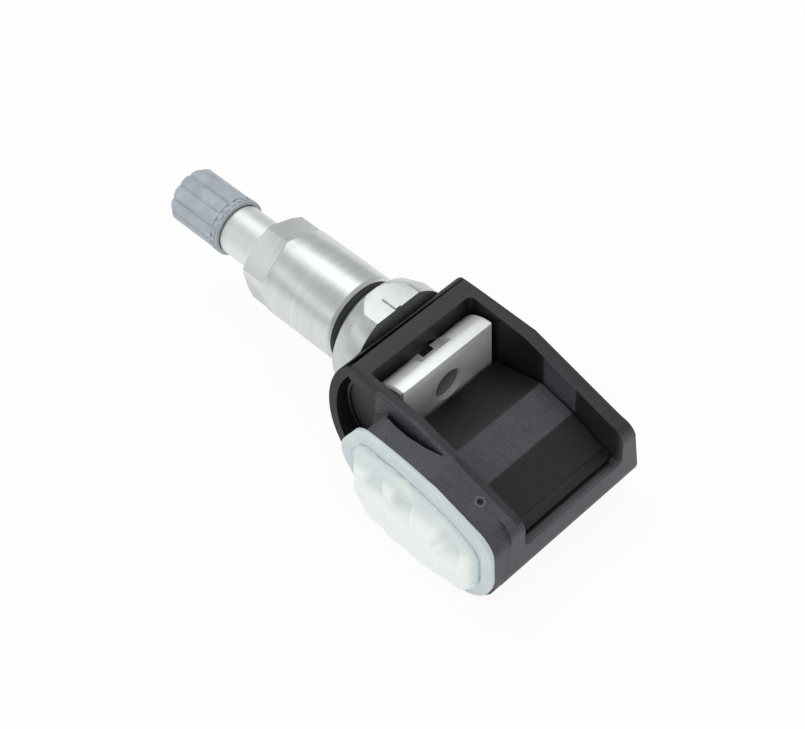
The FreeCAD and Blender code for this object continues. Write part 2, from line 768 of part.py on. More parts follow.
def valve_stem():
    """The turned aluminium stem with its air way and core chamber."""
    tip = at(STEM_TIP_S)
    neck = at(STEM_NECK_S)
    outer = [
        (tip, 0.0),
        (tip, STEM_THREAD_R - 0.5),
        (tip + 0.5, STEM_THREAD_R),
        (neck - 0.2, STEM_THREAD_R),
        (neck, STEM_R),
        (STEM_SHOULDER_X, STEM_R),
        (STEM_SHOULDER_X, STEM_TAIL_R),
        (STEM_TAIL_END_X - 0.4, STEM_TAIL_R),
        (STEM_TAIL_END_X, STEM_TAIL_R - 0.4),
        (STEM_TAIL_END_X, 0.0),
    ]
    chamber_end = at(CORE_CHAMBER_S)
    seat_end = at(CORE_SEAT_S)
    way = [
        (tip - 1.0, 0.0),
        (tip - 1.0, CORE_CHAMBER_R),
        (chamber_end, CORE_CHAMBER_R),
        (chamber_end + 0.6, CORE_SEAT_R),
        (seat_end, CORE_SEAT_R),
        (seat_end + 0.4, AIR_R),
        (STEM_TAIL_END_X + 1.0, AIR_R),
        (STEM_TAIL_END_X + 1.0, 0.0),
    ]
    return turned(outer).cut(turned(way))


def hexagon_wire(af, x, twist):
    """A hexagon across the valve axis at x."""
    r = af / math.sqrt(3.0)
    pts = []
    for i in range(6):
        a = math.radians(60.0 * i + twist)
        pts.append(V(x, r * math.sin(a), AXIS_Z + r * math.cos(a)))
    return Part.makePolygon(pts + [pts[0]])


def hexagon(af, x0, x1, twist):
    """A six-sided bar on the valve axis."""
    return Part.Face(hexagon_wire(af, x0, twist)).extrude(V(x1 - x0, 0, 0))


def hexagon_ramp(af0, af1, x0, x1, twist):
    """A six-sided bar that widens from af0 to af1."""
    return Part.makeLoft([hexagon_wire(af0, x0, twist), hexagon_wire(af1, x1, twist)], True, True)


def union_nut():
    """The long round nut with a hexagon milled into its front end, each flat running out in a ramp."""
    front = at(NUT_LENGTH)
    hex_end = at(NUT_LENGTH - NUT_HEX_LENGTH)
    base = NUT_BASE_X
    e = NUT_EDGE
    body = turned([(front, 0.0), (front, NUT_R - NUT_FACE), (front + NUT_CHAMFER, NUT_R), (base - e, NUT_R),
                   (base, NUT_R - e), (base, 0.0)])
    wide = 2.0 * NUT_R + 0.1
    ramp_end = hex_end + NUT_RAMP
    sleeve = hexagon(NUT_HEX_AF, front - 1.0, hex_end, NUT_HEX_TURN)
    sleeve = sleeve.fuse(hexagon_ramp(NUT_HEX_AF, wide, hex_end, ramp_end, NUT_HEX_TURN))
    sleeve = sleeve.fuse(hexagon(wide, ramp_end, base + 1.0, NUT_HEX_TURN))
    nut = body.common(sleeve)
    nut = nut.cut(rod_x(STEM_R + NUT_BORE_CLEAR, front - 1.0, base + 1.0))
    pocket = rod_x(WASHER_R + WASHER_CLEAR, base - WASHER_T - WASHER_CLEAR, base + 1.0)
    mouth = turned([(front - 0.1, 0.0), (front - 0.1, STEM_R + 0.8), (front + 0.7, STEM_R), (front + 0.7, 0.0)])
    return nut.cut(pocket).cut(mouth).removeSplitter()


def nut_washer():
    """The steel washer held in the nut's base, which lets the nut turn on the ring."""
    x0 = NUT_BASE_X - WASHER_T
    inner = STEM_R + NUT_BORE_CLEAR
    return turned([(x0, inner), (x0, WASHER_R), (NUT_BASE_X, WASHER_R), (NUT_BASE_X, inner)])


def lobed(x0, x1):
    """The cap's ribbed barrel: round lobes that meet in sharp valleys."""
    arcs = []
    step = TURN / CAP_LOBES
    for i in range(CAP_LOBES):
        pts = []
        for k, r in ((0.0, CAP_VALLEY_R), (0.5, CAP_LOBE_R), (1.0, CAP_VALLEY_R)):
            a = math.radians(step * (i + k))
            pts.append(V(x0, r * math.sin(a), AXIS_Z + r * math.cos(a)))
        arcs.append(Part.Arc(*pts).toShape())
    return Part.Face(Part.Wire(arcs)).extrude(V(x1 - x0, 0, 0))


def valve_cap():
    """The ribbed plastic cap with a notched skirt and an eased end."""
    bottom = at(CAP_S)
    top = at(CAP_S + CAP_LENGTH)
    skirt = bottom - CAP_SKIRT
    d = CAP_DOME
    wide = CAP_LOBE_R + 0.1
    ends = turned([(top, 0.0), (top, wide - d), (top + d * 0.3, wide - d * 0.3), (top + d, wide),
                   (skirt, wide), (skirt, 0.0)])
    barrel = lobed(top, skirt).common(ends)
    ring = turned([(skirt - 0.2, 0.0), (skirt - 0.2, CAP_VALLEY_R), (skirt + 0.3, CAP_R), (bottom, CAP_R), (bottom, 0.0)])
    cap = barrel.fuse(ring)
    half = CAP_NOTCH_W / 2
    for i in range(CAP_NOTCHES):
        notch = box(skirt + 0.3, bottom - CAP_NOTCH_RIM, -half, half, AXIS_Z + CAP_R - CAP_NOTCH_D, AXIS_Z + CAP_R + 0.5)
        notch.rotate(V(0, 0, AXIS_Z), V(1, 0, 0), TURN * i / CAP_NOTCHES)
        cap = cap.cut(notch)
    bore = STEM_THREAD_R + CAP_BORE_CLEAR
    roof = at(STEM_TIP_S) - CAP_SEAL_GAP - CAP_SEAL_T
    mouth = STEM_R + CAP_BORE_CLEAR
    cavity = turned([(bottom + 1.0, 0.0), (bottom + 1.0, mouth), (bottom - 0.9, mouth), (bottom - 1.1, bore),
                     (roof, bore), (roof, 0.0)])
    return cap.cut(cavity)


def cap_seal():
    """The rubber disc in the roof of the cap, just off the stem's tip."""
    x1 = at(STEM_TIP_S) - CAP_SEAL_GAP
    x0 = x1 - CAP_SEAL_T
    lip = 0.15
    return turned([(x0, 0.0), (x0, CAP_SEAL_R), (x1 - lip, CAP_SEAL_R), (x1, CAP_SEAL_R - lip), (x1, 0.0)])


def core_body():
    """The threaded barrel of the valve core, bored for the spring, the pin and the air."""
    x0 = at(CORE_BODY_S + CORE_BODY_LENGTH)
    x1 = at(CORE_BODY_S)
    ledge = x1 - CORE_PIN_HEAD_T - CORE_GUIDE_L
    pin = CORE_PIN_R + CORE_PIN_BORE_CLEAR
    coil = SPRING_COIL_R + SPRING_WIRE_R + SPRING_BORE_CLEAR
    thread = CORE_CHAMBER_R - CORE_FIT
    end = at(CORE_CUP_S)
    return turned([(x0, coil), (x0, CORE_BODY_R), (x0 + 0.4, thread), (x1, thread), (x1, CORE_STEM_R),
                   (end, CORE_STEM_R), (end, CORE_AIR_R), (ledge + CORE_GUIDE_L, CORE_AIR_R),
                   (ledge + CORE_GUIDE_L, pin), (ledge, pin), (ledge, coil)])


def core_gasket():
    """The barrel seal that sits on the core's cone."""
    x1 = at(CORE_CHAMBER_S) + 0.6
    back = at(CORE_BODY_S)
    wide = CORE_CHAMBER_R - CORE_FIT
    return turned([(x1, CORE_STEM_R), (x1, CORE_SEAT_R - CORE_FIT), (x1 - 0.6, wide), (back, wide),
                   (back, CORE_STEM_R)])


def core_pin():
    """The pin that opens the core when its head is pressed."""
    head = at(STEM_TIP_S) + CORE_PIN_SUNK
    tail = at(CORE_CUP_S) + CORE_CUP_T + 2.8
    r = CORE_PIN_R
    back = head + CORE_PIN_HEAD_T
    return turned([(head, 0.0), (head, CORE_PIN_HEAD_R - 0.2), (head + 0.2, CORE_PIN_HEAD_R),
                   (back, CORE_PIN_HEAD_R), (back, r), (tail, r), (tail, 0.0)])


def core_cup():
    """The rubber-faced cup that closes the core from inside."""
    x0 = at(CORE_CUP_S)
    wide = CORE_SEAT_R - 0.15
    return turned([(x0, CORE_PIN_R), (x0, AIR_R + 0.1), (x0 + 0.3, wide), (x0 + CORE_CUP_T, wide),
                   (x0 + CORE_CUP_T, CORE_PIN_R)])


def core_spring():
    """The coil spring round the pin, between the pin's head and the barrel's ledge."""
    x0 = at(STEM_TIP_S) + CORE_PIN_SUNK + CORE_PIN_HEAD_T + SPRING_WIRE_R
    x1 = at(CORE_BODY_S) - CORE_PIN_HEAD_T - CORE_GUIDE_L - SPRING_WIRE_R
    length = x1 - x0
    steps = SPRING_TURNS * SPRING_STEPS
    path = []
    for i in range(steps + 1):
        a = math.radians(TURN * i / SPRING_STEPS)
        path.append(V(SPRING_COIL_R * math.cos(a), SPRING_COIL_R * math.sin(a), length * i / steps))
    wire = []
    for i in range(SPRING_SIDES + 1):
        a = math.radians(TURN * (i + 0.5) / SPRING_SIDES)
        wire.append(V(SPRING_COIL_R + SPRING_WIRE_R * math.cos(a), 0, SPRING_WIRE_R * math.sin(a)))
    coil = Part.makePolygon(path).makePipeShell([Part.makePolygon(wire)], True, True, 1)
    coil.rotate(V(0, 0, 0), V(0, 1, 0), 90.0)
    coil.translate(V(x0, 0, AXIS_Z))
    return coil


def coin_cell():
    """The lithium cell lying flat on the chamber floor."""
    z0 = FLOOR_WALL + CELL_LIFT
    e = CELL_EDGE
    step = z0 + CELL_CAN_T
    top = z0 + CELL_T
    profile = [(0.0, z0), (CELL_CAN_R, z0), (CELL_CAN_R, step), (CELL_R - e, step), (CELL_R, step + e),
               (CELL_R, top - e), (CELL_R - e, top), (0.0, top)]
    vectors = [V(CELL_X + r, CELL_Y, z) for r, z in profile]
    face = Part.Face(Part.makePolygon(vectors + [vectors[0]]))
    return face.revolve(V(CELL_X, CELL_Y, 0), V(0, 0, 1), TURN)


def cell_tab(x0, z0, lug_height):
    """A welded strip from the cell's face to the board, with a bent-up end."""
    y_board = BOARD_Y + BOARD_T + TAB_T
    strip = box(x0, x0 + TAB_W, y_board, CELL_Y + TAB_REACH, z0, z0 + TAB_T)
    lug = box(x0 + TAB_LUG_IN, x0 + TAB_W - TAB_LUG_IN, y_board - TAB_T, y_board, z0, z0 + lug_height)
    return strip.fuse(lug).removeSplitter()


def tab_top():
    """The upper strip, on the cell."""
    return cell_tab(CELL_X - TAB_W / 2, FLOOR_WALL + CELL_LIFT + CELL_T, TAB_LUG_H)


def tab_base():
    """The lower strip, under the cell."""
    return cell_tab(CELL_X + TAB_OFFSET, FLOOR_WALL + CELL_LIFT - TAB_T, TAB_LUG_H * 1.5)


def roof_z(x):
    """Height of the chamber mouth's sloping roof at x."""
    (x1, z1), (x2, z2) = chamber_mouth()[3:5]
    return z1 + (z2 - z1) * (x - x1) / (x2 - x1)


def circuit_board():
    """The board standing behind the cover, with a cut corner."""
    y0 = BOARD_Y
    c = BOARD_CUT
    x0 = BOARD_X0 + c / 2
    front_top = min(roof_z(BOARD_X1 - c), chamber_mouth()[5][1], chamber_mouth()[6][1]) - BOARD_GAP * 2
    pts = [
        (x0, BOARD_Z0),
        (BOARD_X1 - c, BOARD_Z0),
        (BOARD_X1, BOARD_Z0 + c),
        (BOARD_X1, roof_z(BOARD_X1) - BOARD_GAP),
        (BOARD_X1 - c, front_top),
        (x0, front_top),
    ]
    return slab(pts, y0, y0 + BOARD_T)


def chip(x0, z0, length, width, height):
    """A component on the board's outer face."""
    return box(x0, x0 + length, BOARD_Y - height, BOARD_Y, z0, z0 + width)


def sensor_chip():
    """The pressure sensor package, with its port hole facing out."""
    body = chip(SENSOR_X, SENSOR_Z, SENSOR_L, SENSOR_W, SENSOR_T)
    x = SENSOR_X + SENSOR_L / 2
    z = SENSOR_Z + SENSOR_W / 2
    port = rod_y(SENSOR_PORT_R, BOARD_Y - SENSOR_T - 0.5, BOARD_Y - SENSOR_T + SENSOR_PORT_L / 2, x, z)
    return body.cut(port)


def radio_chip():
    """The square package of the transmitter."""
    return chip(RADIO_X, RADIO_Z, RADIO_L, RADIO_L, RADIO_T)


def crystal():
    """The low metal can of the crystal."""
    can = chip(CRYSTAL_X, CRYSTAL_Z, CRYSTAL_L, CRYSTAL_W, CRYSTAL_T)
    edges = [e for e in can.Edges if abs(e.Vertexes[0].Y - e.Vertexes[-1].Y) > CRYSTAL_T / 2]
    return can.makeFillet(CRYSTAL_R, edges)


def coil_core():
    """The ferrite of the wake-up coil, a dumb-bell bar."""
    x0 = COIL_X
    x1 = COIL_X + COIL_L
    z0 = COIL_Z
    z1 = COIL_Z + COIL_H
    b = COIL_BAR
    bar = box(x0, x1, BOARD_Y - COIL_T + COIL_RISE, BOARD_Y - COIL_WIRE, z0 + b, z1 - b)
    left = box(x0, x0 + COIL_END, BOARD_Y - COIL_T, BOARD_Y, z0, z1)
    right = box(x1 - COIL_END, x1, BOARD_Y - COIL_T, BOARD_Y, z0, z1)
    return bar.fuse(left).fuse(right).removeSplitter()


def coil_winding():
    """The copper winding round the ferrite."""
    x0 = COIL_X + COIL_END + COIL_FIT
    x1 = COIL_X + COIL_L - COIL_END - COIL_FIT
    z0 = COIL_Z + COIL_BAR
    z1 = COIL_Z + COIL_H - COIL_BAR
    w = COIL_WIRE
    y0 = BOARD_Y - COIL_T + COIL_RISE
    y1 = BOARD_Y - COIL_WIRE
    outer = box(x0, x1, y0 - w, y1 + w - COIL_FIT, z0 - w, z1 + w)
    inner = box(x0 - 1.0, x1 + 1.0, y0, y1, z0, z1)
    edges = [e for e in outer.Edges if abs(e.Vertexes[0].X - e.Vertexes[-1].X) > COIL_END]
    return outer.makeFillet(w * 0.75, edges).cut(inner)


PARTS = {
    "housing": housing,
    "potting_cover": potting_cover,
    "clamp_bar": clamp_bar,
    "valve_foot": valve_foot,
    "rim_seal": rim_seal,
    "valve_stem": valve_stem,
    "union_nut": union_nut,
    "nut_washer": nut_washer,
    "valve_cap": valve_cap,
    "cap_seal": cap_seal,
    "core_body": core_body,
    "core_gasket": core_gasket,
    "core_pin": core_pin,
    "core_cup": core_cup,
    "core_spring": core_spring,
    "coin_cell": coin_cell,
    "cell_tab_top": tab_top,
    "cell_tab_base": tab_base,
    "circuit_board": circuit_board,
    "sensor_chip": sensor_chip,
    "radio_chip": radio_chip,
    "crystal": crystal,
    "coil_core": coil_core,
    "coil_winding": coil_winding,
}


def main():
    os.makedirs("parts", exist_ok=True)
    for name, build in PARTS.items():
        shape = build()
        shape.exportStep("parts/" + name + ".step")


main()
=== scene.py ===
"""A tyre pressure sensor with a swivelling clamp-in valve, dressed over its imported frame."""

from __future__ import annotations

import logging
import math
from dataclasses import dataclass
from enum import Enum
from functools import reduce
from operator import mul
from typing import Callable, Sequence

import bmesh
import bpy
from mathutils import Matrix, Vector

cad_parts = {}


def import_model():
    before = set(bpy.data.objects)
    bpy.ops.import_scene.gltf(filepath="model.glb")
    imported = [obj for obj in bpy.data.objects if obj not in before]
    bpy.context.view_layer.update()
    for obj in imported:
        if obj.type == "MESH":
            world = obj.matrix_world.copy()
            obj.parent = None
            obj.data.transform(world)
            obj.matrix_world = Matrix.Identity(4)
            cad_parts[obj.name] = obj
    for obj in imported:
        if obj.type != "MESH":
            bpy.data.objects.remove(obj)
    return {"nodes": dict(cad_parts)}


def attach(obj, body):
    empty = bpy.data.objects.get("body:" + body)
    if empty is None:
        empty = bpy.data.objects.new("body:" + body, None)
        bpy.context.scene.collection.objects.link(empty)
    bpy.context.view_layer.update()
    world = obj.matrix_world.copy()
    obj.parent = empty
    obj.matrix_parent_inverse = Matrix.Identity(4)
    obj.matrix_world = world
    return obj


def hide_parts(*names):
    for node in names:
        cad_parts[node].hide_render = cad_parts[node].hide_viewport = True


LOG = logging.getLogger("tyre_sensor")

MM = 0.001
AXIS_Z = 14.0
AXIS_CENTRE = (0.0, 0.0, AXIS_Z * MM)
FULL_TURN = 2.0 * math.pi
FAR = 1000.0
WELD_MM = 0.0005
NODE_WELD_MM = 0.0001
NODE_FLAT_DEG = 0.4
NEAR_MM = 0.001
SHORTEST_MM = 0.3
BENT_DEG = 35.0
WHITE = (1.0, 1.0, 1.0)
RUBBER = ((0.016, 0.016, 0.018), (0.010, 0.010, 0.011), 0.55)
NODES: dict[str, bpy.types.Object] = {}

Object = bpy.types.Object
Material = bpy.types.Material
Colour = tuple[float, float, float]
Point = tuple[float, float, float]
Station = tuple[float, float]
Stations = tuple[Station, ...]
Box = tuple[Point, Point]
Lump = tuple[float, float, float, float, float]
Ramps = tuple[tuple[str, float, float], ...]


class Body(Enum):
    """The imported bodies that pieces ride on."""

    HOUSING = "housing"
    VALVE = "valve"
    NUT = "union_nut"
    CAP = "valve_cap"


# shader maths


class Value:
    """A material socket whose arithmetic adds Math nodes."""

    def __init__(self, shader: Graph, socket: bpy.types.NodeSocket) -> None:
        """Wraps one output socket.

        Args:
            shader: The graph that the socket belongs to.
            socket: The output socket.
        """
        self.shader = shader
        self.socket = socket

    def maths(self, operation: str, *others: Value | float) -> Value:
        """Adds one Math node.

        Args:
            operation: Blender's name of the operation.
            others: The further operands.

        Returns:
            The node's result.
        """
        sockets = {i + 1: other for i, other in enumerate(others)}
        return self.shader.add("Math", {"operation": operation}, {0: self, **sockets})

    def __add__(self, other: Value | float) -> Value:
        """Sum."""
        return self.maths("ADD", other)

    def __mul__(self, other: Value | float) -> Value:
        """Product."""
        return self.maths("MULTIPLY", other)

    def __sub__(self, other: Value | float) -> Value:
        """Difference."""
        return self.maths("SUBTRACT", other)

    def __rsub__(self, other: float) -> Value:
        """Difference from a number."""
        return self.shader.add("Math", {"operation": "SUBTRACT"}, {0: other, 1: self})

    def __truediv__(self, other: Value | float) -> Value:
        """Quotient."""
        return self.maths("DIVIDE", other)

    def __abs__(self) -> Value:
        """Size without its sign."""
        return self.maths("ABSOLUTE")

    def between(self, low: float, high: float) -> Value:
        """Eases from 0 at low to 1 at high.

        Args:
            low: The value that gives 0.
            high: The value that gives 1.

        Returns:
            The eased value.
        """
        settings = {"interpolation_type": "SMOOTHSTEP"}
        ends = {"Value": self, "From Min": low, "From Max": high}
        return self.shader.add("MapRange", settings, ends)


class Graph:
    """A node tree that is filled from code."""

    def __init__(self, tree: bpy.types.NodeTree, source: str) -> None:
        """Takes an empty tree.

        Args:
            tree: The tree of a material or the world.
            source: The output of Texture Coordinate that its patterns lie in.
        """
        self.tree = tree
        self.coords = self.add("TexCoord", {}, {}, source)

    def plug(self, socket: bpy.types.NodeSocket, value: object) -> None:
        """Links or sets one input socket.

        Args:
            socket: The input.
            value: A Value, a number, or a tuple of numbers.
        """
        if isinstance(value, Value):
            self.tree.links.new(value.socket, socket)
        elif isinstance(value, tuple) and socket.type == "RGBA":
            socket.default_value = (*value[:3], 1.0)
        else:
            socket.default_value = value

    def add(self, kind: str, settings: dict, sockets: dict, output: str | int = 0) -> Value:
        """Adds a node.

        Args:
            kind: The node's type, without its ShaderNode prefix.
            settings: Attributes that are set first.
            sockets: Values or links by input name or number.
            output: The output that is returned.

        Returns:
            The wrapped output socket.
        """
        node = self.tree.nodes.new("ShaderNode" + kind)
        for key, setting in settings.items():
            setattr(node, key, setting)
        for key, value in sockets.items():
            self.plug(node.inputs[key], value)
        return Value(self, node.outputs[output])

    def axis(self, letter: str) -> Value:
        """One coordinate."""
        return self.add("SeparateXYZ", {}, {0: self.coords}, letter)

    def noise(self, size_mm: float, detail: float, stretch: Point = (1.0, 1.0, 1.0)) -> Value:
        """Noise whose blotches are about size_mm across.

        Args:
            size_mm: The blotch size, in millimetres.
            detail: The number of finer layers.
            stretch: How much longer a blotch is along X, Y and Z.

        Returns:
            The noise, from 0 to 1.
        """
        shrink = tuple(1.0 / s for s in stretch)
        spots = self.add("Mapping", {}, {"Vector": self.coords, "Scale": shrink})
        sockets = {"Vector": spots, "Scale": 1.0 / (size_mm * MM), "Detail": detail, "Roughness": 0.6}
        return self.add("TexNoise", {"noise_dimensions": "3D"}, sockets)

    def along(self, way: Vector) -> Value:
        """How far each point lies along a direction."""
        return self.add("VectorMath", {"operation": "DOT_PRODUCT"}, {0: self.coords, 1: tuple(way)}, 1)

    def streaks(self, letter: str, size_mm: float, detail: float) -> Value:
        """Noise that changes along one axis only, as turning and brushing marks do.

        Args:
            letter: The axis that it changes along.
            size_mm: The width of a mark, in millimetres.
            detail: The number of finer layers.

        Returns:
            The noise, from 0 to 1.
        """
        along = self.axis(letter) / (size_mm * MM)
        sockets = {"W": along, "Scale": 1.0, "Detail": detail, "Roughness": 0.6}
        return self.add("TexNoise", {"noise_dimensions": "1D"}, sockets)

    def mix(self, factor: Value, first: Value | Colour, second: Value | Colour) -> Value:
        """Blends two colours.

        Args:
            factor: 0 gives the first colour and 1 the second.
            first: A colour.
            second: A colour.

        Returns:
            The blended colour.
        """
        return self.add("Mix", {"data_type": "RGBA"}, {0: factor, 6: first, 7: second}, 2)


class Shader(Graph):
    """One node material with a Principled surface."""

    def __init__(self, name: str) -> None:
        """Starts an empty material.

        Args:
            name: The material's name.
        """
        self.material = bpy.data.materials.new(name)
        self.material.use_nodes = True
        self.material.node_tree.nodes.clear()
        super().__init__(self.material.node_tree, "Object")
        self.surface = self.tree.nodes.new("ShaderNodeBsdfPrincipled")
        self.output = self.tree.nodes.new("ShaderNodeOutputMaterial")
        self.tree.links.new(self.surface.outputs["BSDF"], self.output.inputs["Surface"])

    def bump(self, height: Value, depth_mm: float) -> None:
        """Sends a height to the surface's Normal, with depth_mm as the height of 1."""
        sockets = {"Height": height, "Distance": depth_mm * MM, "Strength": 1.0}
        self.dress(Normal=self.add("Bump", {}, sockets))

    def dress(self, **sockets: object) -> None:
        """Sets or links sockets of the surface, with spaces as underscores."""
        for key, value in sockets.items():
            self.plug(self.surface.inputs[key.replace("_", " ")], value)


@dataclass(frozen=True)
class SoftBox:
    """A bright soft patch of the studio's surroundings, its half sizes as sines of the angle."""

    towards: Point
    wide: float
    high: float
    glow: float
    edge: float
    side: Point = (0.0, 0.0, 1.0)

    def light(self, sky: Graph) -> Value:
        """Gives the patch's brightness in each direction.

        Args:
            sky: The world's graph.

        Returns:
            The brightness, 0 outside the patch.
        """
        middle = Vector(self.towards).normalized()
        across = middle.cross(Vector(self.side)).normalized()
        up = across.cross(middle)
        inside = sky.along(middle).between(0.0, 0.3)
        for way, half in ((across, self.wide), (up, self.high)):
            inside = inside * abs(sky.along(way)).between(half + self.edge, half - self.edge)
        return inside * self.glow


# finishes


def painted_shade_of(colour: Colour, share: float) -> Colour:
    """A share of a colour, used as painted shade."""
    return tuple(share * part for part in colour)


def zone(at: dict[str, Value], ramps: Ramps) -> Value:
    """Multiplies ramps into one mask.

    Args:
        at: The measures by name, in millimetres.
        ramps: The measure's name and the values where the mask is 0 and 1.

    Returns:
        The mask, 1 inside the zone.
    """
    return reduce(mul, [at[name].between(low, high) for name, low, high in ramps])


@dataclass(frozen=True)
class Finish:
    """A named material; each kind of finish fills its graph in its own way."""

    name: str

    def build(self) -> Material:
        """Makes the material.

        Returns:
            The material.
        """
        shader = Shader(self.name)
        self.fill(shader)
        return shader.material

    def fill(self, shader: Shader) -> None:
        """Fills the material's graph.

        Args:
            shader: The graph.
        """
        raise NotImplementedError


@dataclass(frozen=True)
class MouldedPlastic(Finish):
    """Fine-grained moulded plastic."""

    colour: Colour = (0.040, 0.041, 0.046)
    lean: Colour = (0.030, 0.031, 0.034)
    roughness: float = 0.46
    grain_mm: float = 0.10
    grain_depth: float = 0.004
    sheen: float = 0.35

    def fill(self, shader: Shader) -> None:
        """Fills the material's graph.

        Args:
            shader: The graph.
        """
        fine = shader.noise(self.grain_mm, 3.0)
        broad = shader.noise(3.0, 3.0)
        flow = shader.noise(0.7, 2.0, (6.0, 1.0, 1.0))
        shade = (fine * 0.5 + broad * 0.5).between(0.35, 0.65)
        rough = (fine - 0.5) * 0.18 + (flow - 0.5) * 0.14 + self.roughness
        tint = shader.mix(shade, self.lean, self.colour)
        shader.dress(Base_Color=tint, Roughness=rough, Specular_IOR_Level=self.sheen)
        shader.bump(fine + broad * 0.4, self.grain_depth)


@dataclass(frozen=True)
class HousingPlastic(Finish):
    """The housing's black plastic, with painted shade down in the tray, darkest on its floor under the
    bridge, painted light greying the lid's middle facet, the shoulder side and the rear face, and a
    painted shadow in the trough by the nose.

    Its zones measure along x, y and z, "off" the tray's middle plane and from the "port"'s axis.
    """

    # Colours: the bridge's plain black; painted light for the shoulder side, the rear face and the lid's
    # middle facet; painted shade for the tray's floor.
    bridge: Colour = (0.028, 0.029, 0.034)
    shoulder_painted_light: Colour = (0.064, 0.065, 0.077)
    lid: Colour = (0.062, 0.063, 0.074)
    # painted shade: the tray's floor in the bridge's shadow
    tray_painted_shade: Colour = (0.007, 0.007, 0.009)
    port: Colour = (0.16, 0.16, 0.17)
    speckle: tuple[Colour, Colour] = ((0.58, 0.58, 0.59), (1.36, 1.36, 1.34))
    roughness: float = 0.50
    sheen: float = 0.42
    grain_depth: float = 0.006
    tray_middle: float = -0.3
    port_axis: Station = (18.4, -12.6)
    # tray_zone takes painted shade; the zones below mark painted light on the lid's middle facet, the
    # side and the rear face, where the bridge's painted shade ends, and a painted shadow in the trough.
    tray_zone: Ramps = (
        ("off", 9.80, 9.72), ("x", -4.6, -4.5), ("z", 21.0, 20.6), ("x", 23.1, 22.9), ("z", 3.0, 4.0),
    )
    lid_light_zone: Ramps = (("x", 9.2, 9.7), ("x", 15.6, 15.2), ("z", 11.8, 12.3))
    bridge_shade_zone: Ramps = (("x", 8.0, 9.5),)
    side_light_zone: Ramps = (("y", -10.9, -11.3), ("x", -2.2, -1.6))
    rear_light_zone: Ramps = (("x", 23.2, 23.9),)
    painted_shadow_zone: Ramps = (("y", -10.4, -10.7), ("x", -1.8, -2.4), ("z", 20.0, 19.3))
    port_zone: Ramps = (("port", 0.82, 0.76), ("port", 0.52, 0.58))

    def tint(self, shader: Shader) -> Value:
        """Colours the zones, without the speckle: painted shade in the tray and the trough, painted light
        on the lid's middle facet, the shoulder side and the rear face.

        Args:
            shader: The material's graph.

        Returns:
            The colour.
        """
        x, y, z = (shader.axis(letter) / MM for letter in "XYZ")
        across, along = (value - middle for value, middle in zip((x, y), self.port_axis))
        port = (across * across + along * along).maths("SQRT")
        at = {"x": x, "y": y, "z": z, "off": abs(y - self.tray_middle), "port": port}
        # the tray gets painted shade: darkest under the bridge, then a darkened copy of the lid colour
        tray = zone(at, self.tray_zone)
        side = zone(at, self.side_light_zone) + zone(at, self.rear_light_zone) * 0.9
        floor = shader.mix(zone(at, self.bridge_shade_zone), self.tray_painted_shade, painted_shade_of(self.lid, 0.24))
        # painted light: the shoulder colour on the side and rear faces
        tint = shader.mix(side.between(0.0, 1.0), self.bridge, self.shoulder_painted_light)
        tint = shader.mix(tray, tint, floor)
        # painted light on the lid's middle facet
        tint = shader.mix(tray * zone(at, self.lid_light_zone), tint, self.lid)
        # painted shadow in the trough by the nose
        tint = shader.mix(zone(at, self.painted_shadow_zone), tint, painted_shade_of(self.bridge, 0.5))
        return shader.mix(zone(at, self.port_zone) * 0.7, tint, self.port)

    def fill(self, shader: Shader) -> None:
        """Fills the material's graph.

        Args:
            shader: The graph.
        """
        fine = shader.noise(0.16, 2.0)
        broad = shader.noise(2.6, 3.0)
        flow = shader.noise(0.9, 2.0, (7.0, 1.0, 1.0))
        grain = (fine * 0.75 + broad * 0.15 + flow * 0.10).between(0.34, 0.66)
        sockets = {0: 1.0, 6: self.tint(shader), 7: shader.mix(grain, *self.speckle)}
        tint = shader.add("Mix", {"data_type": "RGBA", "blend_type": "MULTIPLY"}, sockets, 2)
        rough = (fine - 0.5) * 0.24 + (flow - 0.5) * 0.16 + self.roughness
        shader.dress(Base_Color=tint, Roughness=rough, Specular_IOR_Level=self.sheen)
        shader.bump(fine + broad * 0.5, self.grain_depth)


@dataclass(frozen=True)
class CastResin(Finish):
    """Milky resin whose lumps rise from face_y to -Y, with painted shade, darker and bluish, low down in
    the bays between the lumps and painted light, whiter, out on the lumps.
    """

    # high is painted light on the lumps, low is painted shade between them
    high: Colour = (0.93, 0.98, 0.94)
    low: Colour = (0.65, 0.725, 0.74)
    warm: Colour = (0.88, 0.90, 0.82)
    face_y: float = -16.6
    ripple: float = 0.05

    def fill(self, shader: Shader) -> None:
        """Fills the material's graph.

        Args:
            shader: The graph.
        """
        out = (shader.axis("Y") / MM - self.face_y) * -1.0
        cloud = shader.noise(4.0, 2.0)
        fine = shader.noise(0.5, 2.0)
        # painted shade low between the lumps and painted light out on them, by height and cloud
        height_shading = (out + (cloud - 0.5) * 1.0).between(-0.2, 1.7)
        tint = shader.mix(height_shading, self.low, self.high)
        tint = shader.mix(cloud.between(0.50, 0.75) * 0.45, tint, self.warm)
        shader.dress(Base_Color=tint, Roughness=(fine - 0.5) * 0.10 + 0.34)
        shader.dress(Subsurface_Weight=0.2, Subsurface_Radius=(1.0, 1.0, 0.9), Subsurface_Scale=0.0012)
        shader.dress(Coat_Weight=0.2, Coat_Roughness=0.25)
        shader.bump(cloud + fine * 0.15, self.ripple)


